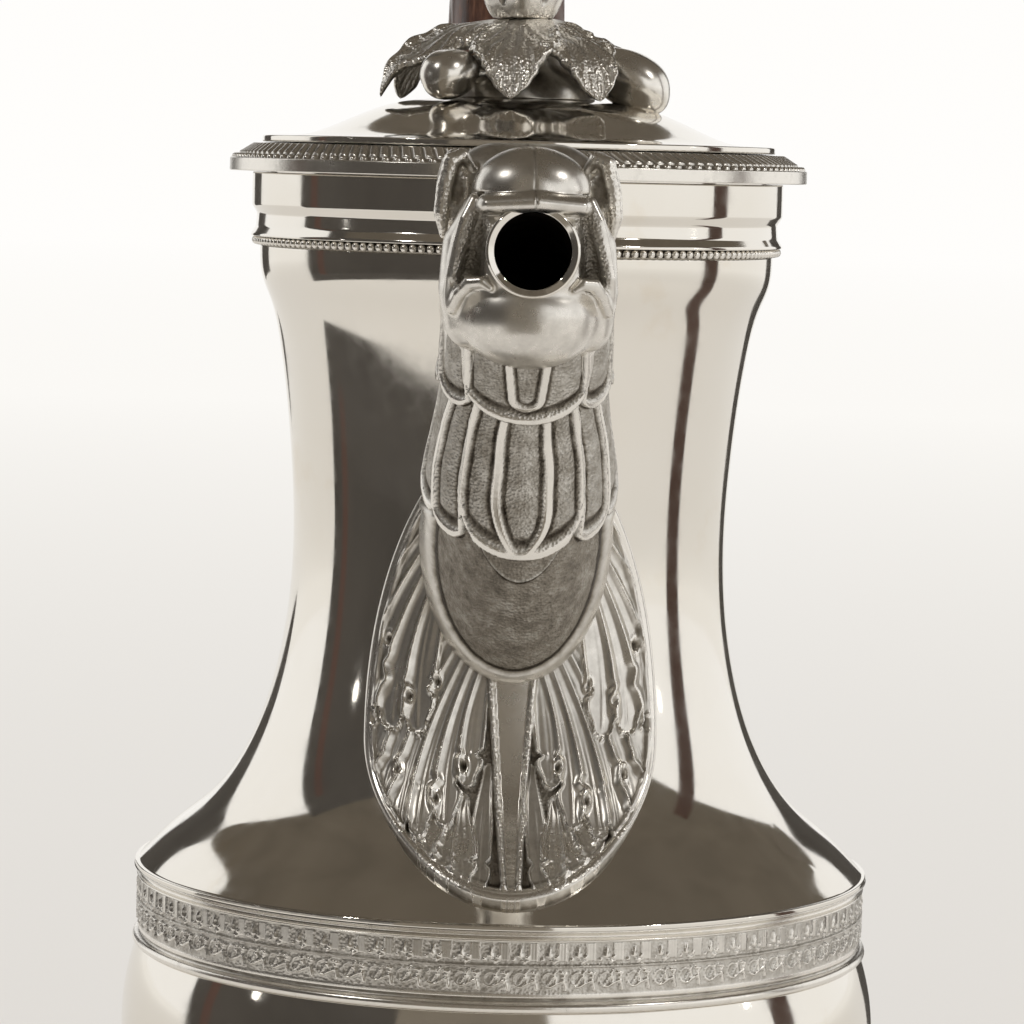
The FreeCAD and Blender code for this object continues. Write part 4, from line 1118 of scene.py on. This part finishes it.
def acanthus(x, up):
    """Height of the leaves above the plate, their brightness, and where the ground is bare."""
    side = np.abs(x)
    height = np.zeros_like(x)
    relief = np.full_like(x, 0.26)
    bare = np.ones_like(x)
    for level, (tips, root, half, bow, shift, tone) in enumerate(LEAVES):
        grown, on, edges, along = leaf(side + 0.25 * np.sign(x), up, tips, root, half, bow, shift)
        shade = tone - 0.25 * (1 - blend(0.0, 0.35, along)) + 0.25 * edges
        over = on > 0.03
        height = np.where(over, np.maximum(0.4 * height, (1.15 + 0.14 * level) * grown), height)
        relief = np.where(over, shade * on + relief * (1 - on), relief)
        bare = bare * (1 - on)
    for spot in EYELETS:
        away = np.hypot((side - spot[0]) / 0.6, (up - spot[1]) / 1.1)
        near = away < 1.8
        ring = half_round(away - 1.25, 0.5)
        pit = mound(away, 1.0)
        height = np.where(near, height + 0.18 * ring - 0.8 * pit, height)
        relief = np.where(near, relief + 0.25 * ring - 0.7 * pit, relief)
    stem_half = 0.4 + 2.2 * np.clip((up - 1.3) / 32.0, 0, 1.2)
    rib = half_round(side - stem_half - 0.55, 0.6)
    ripple = 0.07 * np.cos(up * 4.6 + 3.314) * (1 - blend(6.3, 12.3, up))
    stem = side < stem_half
    height = np.maximum(np.where(stem, 0.30 + ripple, height), 1.25 * rib)
    relief = np.maximum(np.where(stem, 0.88, relief), 0.95 * rib)
    return np.clip(height, -0.4, 1.8), relief, bare * (1 - stem)


def spout_plate():
    """The shield-shaped plate round the root of the spout, with chased acanthus leaves and a wire rim."""
    x, z, reach, oval = oval_plate(PLATE_LEVEL, PLATE_BELOW, PLATE_ABOVE, PLATE_HALF_WIDTH, 400, 250)
    grade = np.hypot(x / PLATE_HALF_WIDTH ** 2, (z - PLATE_LEVEL) / reach ** 2) / np.maximum(oval, 1e-3)
    inset = (1 - oval) / np.maximum(grade, 1e-3)
    leaves, tone, bare = acanthus(x, z - Z_LEDGE)
    leaves = leaves * blend(1.3, 2.2, inset)
    rim = half_round(inset - PLATE_RIM_WIDTH / 2 - 0.1, PLATE_RIM_WIDTH / 2 + 0.1)
    lift = PLATE_GROUND * blend(0.0, 0.35, inset) + leaves + 1.1 * rim
    lift = np.where(inset < 0.02, -0.3, lift)
    relief = np.maximum(tone, 0.97 * rim) - 0.30 * mound(inset - PLATE_RIM_WIDTH - 0.45, 0.4)
    foot_leaf = (z < Z_LEDGE + 12.3) & (np.abs(x) > 5.8) & (tone > 0.6)
    stipple = np.maximum(0.6 * bare * (rim < 0.1), 0.2 * foot_leaf)
    back = neck_point(x[:, ::-16], z[:, ::-16], -0.3)
    shape, relief, stipple = backed(neck_point(x, z, lift), back, relief, stipple)
    piece("spout_plate_leaves", shape, "pot", CHASED, ["spout_plate"], relief=relief, stipple=stipple)


# Lid and finial

COVER_FLAT = 4.5
LID_SHEET = 1.1
LID_RIM = 2.1
BORDER_WIDTH = 4.7
BORDER_COUNT = 74
BEZEL_RADIUS = 41.4


def cover_line(drop):
    """The ogee of the lid's top from its flat ring to the axis."""
    flat = COVER_RADIUS - COVER_FLAT
    level = Z_BORDER + LID_SHEET - drop
    rise = Z_CROWN - Z_BORDER - LID_SHEET
    ogee = ((1, 0), (0.86, 0.16), (0.73, 0.45), (0.57, 0.77), (0.37, 0.93), (0, 1))
    return spline(scaled(ogee, (0, level), (flat, rise)), 60, (-1, 0), (-1, 0))


COVER = cover_line(0)


def cover_level(radius):
    """Level of the lid's top at a radius."""
    return np.interp(radius, COVER[::-1, 0], COVER[::-1, 1])


def lid_cover():
    """The domed top of the lid."""
    outline = [(COVER_RADIUS, Z_BORDER), (COVER_RADIUS, Z_BORDER + LID_SHEET)]
    outline += list(COVER)
    outline += list(cover_line(LID_SHEET)[::-1])
    piece("lid_cover_skin", revolved(rounded(outline, 0.3)), "lid", POLISHED, ["lid_cover"])


def lid_border():
    """The lid's border: an upright rim and a sloping face of slanted strokes above a row of small beads."""
    cols = BORDER_COUNT * 24
    around = np.arange(cols) / cols * BORDER_COUNT
    along = np.linspace(0, 1, 40)[:, None]
    stroke = half_round((2 * around + 1.15 * along) % 1 - 0.5, 0.40)
    stroke = stroke * blend(0.26, 0.36, along) * (1 - blend(0.88, 0.98, along))
    dot_across = (2 * around % 1 - 0.5) * math.pi * LID_RADIUS / BORDER_COUNT
    dot = half_round(np.hypot(dot_across, (along - 0.12) * 5.4), 0.66)
    height = np.maximum(0.42 * stroke, 0.62 * dot)
    foot = Z_RIM + LID_RIM + 0.1
    radius = LID_RADIUS - 0.25 + along * (0.55 - BORDER_WIDTH) + 0.5 * (height - 0.3)
    level = foot + along * (Z_BORDER - foot) + 0.86 * (height - 0.3)
    inner_top = BEZEL_RADIUS - LID_SHEET
    under = Z_BORDER - LID_SHEET
    wall = LID_RADIUS - LID_SHEET
    rest = rounded([
        (inner_top, Z_BORDER), (inner_top, under), (LID_RADIUS - BORDER_WIDTH, under),
        (wall, Z_RIM + 0.6), (wall, Z_RIM), (LID_RADIUS, Z_RIM), (LID_RADIUS, Z_RIM + LID_RIM),
    ], 0.2)
    angle = 2 * np.pi * around / BORDER_COUNT
    points = np.concatenate([round_axis(radius, angle, level), round_axis(rest[:, :1], angle, rest[:, 1:])])
    relief = 0.52 + 1.1 * np.clip(height, 0, 0.42)
    relief = np.concatenate([relief, np.full((len(rest), cols), 0.95)])
    shape = surface(points, wrap_rows=True)
    piece("lid_border_leaves", shape, "lid", CHASED, ["lid_border"], relief=relief)


BUD_TURN = -41.0
LEAF_STEP = 40.0
LEAF_EDGE = lowest("finial_leaves", Z)
LEAF_REACH = 23.4
BUD_CIRCLE = 18.0
BUD_LEVEL = middle("finial_buds", Z)


def leaf_line(count, length):
    """The drooping middle line of a leaf as (radius, level) points."""
    droop = ((0.05, 1.0), (0.2, 0.98), (0.45, 0.88), (0.75, 0.62), (0.93, 0.30), (1.0, 0.02))
    size = (LEAF_REACH * length, Z_LEAVES - LEAF_EDGE)
    return spline(scaled(droop, (0, LEAF_EDGE), size), count)


def finial_leaf(turn, width, length, roll, ruffle):
    """One drooping leaf: serrated, veined, with a thick rolled edge; also gives its relief."""
    rows = 90
    half_cols = 45
    s = np.linspace(0, 1, rows)[:, None]
    q = np.linspace(-1, 1, half_cols)[None, :]
    line = leaf_line(rows, length)
    heading = np.gradient(line, axis=0)
    heading = heading / np.linalg.norm(heading, axis=1, keepdims=True)
    teeth = 0.16 * np.abs((s * 3.1 + 0.2) % 1 - 0.5) * 2 * blend(0.3, 0.5, s)
    saw = 1 + teeth + 0.04 * np.sin(s * 70) * blend(0.2, 0.4, s)
    half = width * np.clip(np.sin(np.pi * np.clip(s, 0, 1) ** 0.8), 0, 1) ** 0.7 * saw
    across = q * half
    tilt = math.radians(roll)
    fan = np.cos((s * 5.0 - np.abs(q) * 2.2) * 2 * np.pi)
    veins = 0.26 * fan * blend(0.15, 0.4, np.abs(q)) * blend(0.15, 0.35, s)
    rib = -0.28 * mound(q, 0.16) * blend(0.05, 0.3, s)
    rolled = 0.85 * mound(np.abs(q) - 0.90, 0.16) * blend(0.1, 0.3, s)
    curl = -0.16 * half * q ** 2 + ruffle * np.sin(s * 6.0 + 2.2 * np.sign(q)) * q ** 2 * 2.6
    swell = 0.6 * np.sin(s * 9.0 + roll) * blend(0.2, 0.5, s) * (1 - 0.5 * q ** 2)
    lift = curl + swell + veins + rib + rolled + np.tan(tilt) * across
    ends = np.clip(np.sin(np.pi * s), 0, 1) ** 0.5
    grids = []
    for thick in (0.0, -1.0):
        up = (lift + thick) * ends
        radius = line[:, :1] - heading[:, 1:] * up
        level = line[:, 1:] + heading[:, :1] * up
        grids.append(np.stack([across + 0 * radius, -radius, level], -1))
    points = np.concatenate([grids[0], grids[1][:, ::-1]], axis=1)
    relief = np.clip(0.90 + 0.6 * veins + 0.22 * rolled + 0.6 * rib, 0.1, 1.0)
    relief = np.concatenate([relief, 0.55 + 0 * relief], axis=1)
    return turned(surface(points), turn), relief.ravel()


def finial_leaves():
    """The whorl of leaves, two between each pair of buds, no two alike."""
    kinds = (
        (0.88, 6.8, 0.94, 8, 0.25), (1.84, 6.6, 0.98, 8, 0.45), (4, 7.4, 0.98, 10, 0.4),
        (5, 6.8, 1.0, 8, 0.35), (7, 7.6, 0.99, -6, 0.4), (8, 7.0, 1.0, -7, 0.45),
    )
    made = [finial_leaf(BUD_TURN + LEAF_STEP * place, *kind) for place, *kind in kinds]
    relief = np.concatenate([leaf[1] for leaf in made])
    shape = joined([leaf[0] for leaf in made])
    piece("finial_leaf_whorl", shape, "lid", CHASED, ["finial_leaves"],
          relief=relief, stipple=0.45 + 0 * relief)


def bud_stalk():
    """The short stalk that joins a bud to the mound."""
    radius = 1.6
    points, faces = revolved(rounded([(0, 14.0), (radius, 14.0), (radius, 6.0), (0, 6.0)], 0.3), 32)
    return lying(points) + [0, 0, BUD_LEVEL], faces


def finial_buds():
    """Three closed buds between the leaves, with shallow lengthwise folds, each on a stalk."""
    along = np.linspace(0, np.pi, 40)[:, None]
    round_angle = full_turn(48)
    made = []
    for index, (length, thick, droop) in enumerate(((5.4, 4.25, 0.1), (6.9, 5.3, 0.3), (5.7, 4.2, 0.2))):
        fold = 1 - 0.10 * np.abs(np.cos(1.5 * round_angle)) ** 6 * np.sin(along)
        out = BUD_CIRCLE - length * np.cos(along) + 0 * round_angle
        reach = thick * np.sin(along) ** 0.85 * fold * (1 - 0.10 * np.cos(along))
        level = BUD_LEVEL - droop * (out - BUD_CIRCLE) + reach * np.cos(round_angle)
        bud = surface(np.stack([reach * np.sin(round_angle), -out, level], -1))
        made.append(turned(joined([bud, bud_stalk()]), BUD_TURN + 120.0 * index))
    whole = joined(made)
    relief = np.full(len(whole[0]), 0.93)
    piece("finial_side_buds", whole, "lid", CHASED, ["finial_buds"], relief=relief)


def finial_knob():
    """The large bud at the top: a calyx of pointed sepals round a body of wrapped petals."""
    height = Z_KNOB - Z_LEAVES
    swell = ((0.48, 0), (0.72, 0.18), (1.0, 0.42), (0.84, 0.68), (0.46, 0.88), (0, 1))
    line = spline(scaled(swell, (0, Z_LEAVES), (KNOB_RADIUS, height)), 120, (1, 1), (-1, 0.4))
    angle = full_turn(180)
    level = line[:, 1:]
    up = (level - Z_LEAVES) / height
    sepal_edge = 0.30 + 0.22 * np.cos(5 * angle)
    sepal = blend(-0.02, 0.02, sepal_edge - up)
    keel = 0.35 * np.cos(5 * angle) * sepal
    wrap = (angle * 3 / (2 * np.pi) + up * 0.9) % 1
    petal = 0.7 * (1 - blend(0.0, 0.9, wrap)) * blend(0.2, 0.4, up) * (1 - blend(0.85, 1.0, up))
    radius = np.maximum(line[:, :1] - 0.7 + 0.75 * sepal + keel + petal * (1 - sepal), 0)
    points = round_axis(radius * (1 - blend(0.97, 1.0, up)), angle, level)
    points = np.concatenate([points[:1] * [0, 0, 1], points])
    relief = 0.88 - 0.5 * mound(sepal_edge - up + 0.02, 0.03) - 0.4 * mound(wrap - 1, 0.06) * (1 - sepal)
    relief = np.concatenate([relief[:1], relief])
    piece("finial_knob_bud", surface(points), "lid", CHASED, ["finial_knob"], relief=relief)


def finial_mound():
    """The lumpy mound under the leaves."""
    rows = 60
    base = highest("finial_mound", X)
    top = highest("finial_mound", Z)
    foot = float(cover_level(base)) + 0.05
    line = spline([
        (base, foot), (base * 0.93, foot + 2.2), (base * 0.62, foot + 5.0),
        (base * 0.5, top - 2.0), (base * 0.45, top),
    ], rows)
    angle = full_turn(160)
    up = np.linspace(0, 1, rows)[:, None]
    lumps = 0.5 * np.cos(9 * angle + 4 * up) * np.sin(np.pi * up) ** 0.6
    points = round_axis(line[:, :1] + lumps, angle, line[:, 1:])
    points = np.concatenate([points[:1] * [0, 0, 1], points, points[-1:] * [0, 0, 1]])
    relief = 0.45 + 0.5 * lumps
    relief = np.concatenate([relief[:1], relief, relief[-1:]])
    piece("finial_mound_lumps", surface(points), "lid", CHASED, ["finial_mound"], relief=relief)


# Legs and palmettes

FOOT_CIRCLE = 59.0
PALMETTE_SHEET = 1.3
PALMETTE_LEVEL = 52.0
PALMETTE_BELOW = 12.0
PALMETTE_ABOVE = 17.0
PALMETTE_HALF_WIDTH = 14.0
SHANK_LINE = ((0, -57.5, 56), (0, -61.5, 47), (0, -63.2, 37), (0, -61.0, 25), (0, -59.0, 14), (0, -59, 6))
TOE_LINE = ((4.5, 4.5, 7.0), (8.0, 8.0, 5.2), (9.8, 10.2, 2.6), (11.6, 12.2, 1.0))


def shank_ridges(p):
    """The wave of the lengthwise ridges round the shank."""
    return np.cos(np.arctan2(p[..., X], -p[..., Y] - 60.5) * 9.0)


def leg_field(p):
    """The front leg: a curved shank with a knee and a paw with four clawed toes."""
    shank = chain(p, SHANK_LINE, [7.6, 7.4, 6.4, 5.2, 4.9, 5.2])
    paw = ball(p, (0, -FOOT_CIRCLE, 5.0), (8.6, 9.0, 6.6))
    field = soft_union(shank, paw, 2.5)
    for index in range(4):
        sine = math.sin(math.radians((index - 1.5) * 30.0))
        cosine = math.cos(math.radians((index - 1.5) * 30.0))
        toe = [(across * sine, -FOOT_CIRCLE - ahead * cosine, up) for across, ahead, up in TOE_LINE]
        field = soft_union(field, chain(p, toe[:3], [2.6, 2.7, 2.1]), 0.7)
        field = soft_union(field, chain(p, toe[2:], [1.3, 0.5]), 0.25)
    field = field - 0.32 * shank_ridges(p) * blend(13, 20, p[..., Z]) * (1 - blend(44, 54, p[..., Z]))
    field = np.maximum(field, -p[..., Z])
    radius = BOWL_RADIUS + PALMETTE_SHEET
    bowl = ball(p, (0, 0, Z_BELLY), (radius, radius, Z_BELLY - BOWL_FLOOR + PALMETTE_SHEET))
    return np.maximum(field, -bowl)


def palmette_point(x, z, lift):
    """A place on the front of the bowl, at a distance across and a level, lifted off it."""
    depth = Z_BELLY - BOWL_FLOOR
    radius = BOWL_RADIUS * np.sqrt(np.clip(1 - ((z - Z_BELLY) / depth) ** 2, 0.01, 1))
    y = -np.sqrt(np.maximum(radius ** 2 - x ** 2, 1.0))
    square = np.stack([x / BOWL_RADIUS ** 2, y / BOWL_RADIUS ** 2, (z - Z_BELLY) / depth ** 2], -1)
    square = square / np.linalg.norm(square, axis=-1, keepdims=True)
    return np.stack([x, y, z], -1) + square * np.asarray(lift)[..., None]


def palmette():
    """The plate that joins a leg to the bowl, a fan of lobes with a rim; also gives its relief."""
    size = (PALMETTE_LEVEL, PALMETTE_BELOW, PALMETTE_ABOVE, PALMETTE_HALF_WIDTH)
    x, z, _, oval = oval_plate(*size, 110, 110)
    inset = (1 - oval) * PALMETTE_BELOW
    up = z - PALMETTE_LEVEL + PALMETTE_BELOW * 0.7
    lobes = np.abs(np.cos(np.arctan2(x, up) * 4.5))
    height = 0.25 + 1.1 * lobes * blend(0.5, 2.2, inset) * blend(0.0, 5.0, np.hypot(x, up))
    rim = half_round(inset - 0.7, 0.7)
    lift = np.where(inset < 0.03, -0.4, np.maximum(height, 1.3 * rim))
    relief = 0.2 + 0.7 * np.clip(lift / 1.3, 0, 1)
    back = palmette_point(x[:, ::-12], z[:, ::-12], -0.4)
    return backed(palmette_point(x, z, lift), back, relief)


def legs():
    """The three legs with their palmettes."""
    points, faces = sculpted(leg_field, (-13.5, -74.5, -0.6), (13.5, -42.0, 60.0), 0.55)
    relief = 0.35 + 0.6 * blend(-0.2, 0.35, shank_ridges(points))
    relief = np.where((points[:, Z] < 14) | (points[:, Z] > 50), 0.85, relief)
    plate, plate_relief = palmette()
    for index, name in enumerate(("front", "right", "left")):
        turn = 360.0 / 3 * index
        piece("leg_form_" + name, turned((points, faces), turn), "pot", CHASED, ["leg_" + name],
              relief=relief, stipple=0.2 * (relief < 0.5))
        piece("palmette_form_" + name, turned(plate, turn), "pot", CHASED, ["leg_palmette_" + name],
              relief=plate_relief)


# Studio

LENS = 150.0
CAMERA_PLACE = (-21.4, -710.0, 216.0)
CAMERA_DOWN = 4.78
CAMERA_YAW = -1.76
CAMERA_ROLL = 1.5
FLOOR_HALF = 40000.0
ROOF_LEVEL = 1300.0
LAMP_TARGET = 0.18
CARD_DARK = (0.088, 0.081, 0.074)
CARD_SHADE = (0.16, 0.14, 0.115)


def camera():
    """The camera of the photograph: a long lens a little above the lid, slightly left of the spout."""
    data = bpy.data.cameras.new("camera")
    data.lens = LENS
    data.sensor_width = 36.0
    data.clip_start = 0.05
    made = new_object("camera", data)
    look = Matrix.Rotation(math.radians(CAMERA_YAW), 4, "Z")
    look = look @ Matrix.Rotation(math.radians(90 - CAMERA_DOWN), 4, "X")
    look = look @ Matrix.Rotation(math.radians(CAMERA_ROLL), 4, "Z")
    made.matrix_world = Matrix.Translation([c / MM for c in CAMERA_PLACE]) @ look
    bpy.context.scene.camera = made


def stage_mesh(name, shape, material, hidden=True):
    """A piece of the studio; a hidden one is seen only in the metal and casts no shadow."""
    points, faces = shape
    mesh = bpy.data.meshes.new(name)
    mesh.from_pydata((points / MM).tolist(), [], faces.tolist())
    mesh.materials.append(material)
    made = new_object(name, mesh)
    if hidden:
        made.visible_camera = False
        made.visible_diffuse = False
        made.visible_shadow = False


def card(name, start, end, top, colour, clear=290.0, radius=900.0, low=2.0):
    """A studio card round the pot, between two azimuths from the front, which runs in along the floor."""
    out, level = np.array([(clear, low), (radius, low), (radius, top)]).T[..., None]
    points = round_axis(out, np.radians(np.linspace(start, end, 60)), level)
    stage_mesh(name, surface(points, wrap_cols=False), card_paint(name, colour))


def sheet(left, right, front, back, level):
    """A level rectangle."""
    corners = [(left, front, level), (right, front, level), (right, back, level), (left, back, level)]
    return np.array(corners, float), np.array([[0, 1, 2, 3]])


def lamp(name, azimuth, elevation, distance, size, power):
    """A soft rectangular lamp that faces the pot."""
    data = bpy.data.lights.new(name, "AREA")
    data.shape = "RECTANGLE"
    data.size, data.size_y = size
    data.energy = power
    data.color = (1.0, 0.98, 0.95)
    turn = Matrix.Rotation(math.radians(azimuth), 4, "Z")
    tilt = Matrix.Rotation(math.radians(90 - elevation), 4, "X")
    aim = Matrix.Translation((0, 0, LAMP_TARGET)) @ turn @ tilt
    new_object(name, data).matrix_world = aim @ Matrix.Translation((0, 0, distance))


def studio():
    """Floor, cards, lamps and an even white world."""
    floor = sheet(-FLOOR_HALF, FLOOR_HALF, -FLOOR_HALF, FLOOR_HALF, 0)
    stage_mesh("floor", floor, floor_paper(), hidden=False)
    card("card_front", -106, -32, 970, CARD_DARK, 560.0)
    card("card_stripe", -99, -95, 760, (0.115, 0.072, 0.060), 800.0, 880.0)
    card("card_front_middle", -32, 14, 970, (0.24, 0.215, 0.18))
    card("card_right_gap", 89, 98, 900, (0.09, 0.06, 0.05))
    card("card_back_left", -161, -146, 1250, CARD_DARK, 890.0, low=90.0)
    card("card_back_right", 148, 161, 1250, CARD_DARK)
    card("card_wing_right", 141, 149, 1250, CARD_SHADE, 890.0, low=440.0)
    roof = sheet(-1300.0, 1830.0, -2150.0, 2300.0, ROOF_LEVEL)
    stage_mesh("card_roof", roof, card_paint("card_roof", CARD_SHADE))
    for side, sign in (("left", -1), ("right", 1)):
        lamp("lamp_" + side, sign * 56, 40, 0.85, (0.05, 0.06), 0.6)
        lamp("lamp_low_" + side, sign * 80, 9, 0.85, (0.022, 0.03), 0.02)
    world = bpy.data.worlds.new("world")
    world.use_nodes = True
    world.node_tree.nodes.clear()
    sky = add(world.node_tree, "Background", {"Color": SKY + (1,), "Strength": 1.0})
    close(world.node_tree, sky, "OutputWorld")
    bpy.context.scene.world = world
    bpy.context.scene.view_settings.view_transform = "Standard"


def carried_over():
    """Finishes of the small CAD parts that show as they are."""
    for name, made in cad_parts.items():
        material = WOOD[0] if name == "handle_grip" else POLISHED[0]
        made.data.materials.clear()
        made.data.materials.append(material)
        made.data.shade_smooth()


def build():
    """Makes every piece of the pot and the studio round it."""
    carried_over()
    camera()
    studio()
    lower_bowl()
    neck_shell()
    collar_band()
    bead_ring()
    shoulder_frieze()
    spout_plate()
    spout_tube()
    spout_head()
    spout_mouth_ring()
    lid_cover()
    lid_border()
    finial_mound()
    finial_leaves()
    finial_buds()
    finial_knob()
    legs()


build()
bpy.context.view_layer.update()
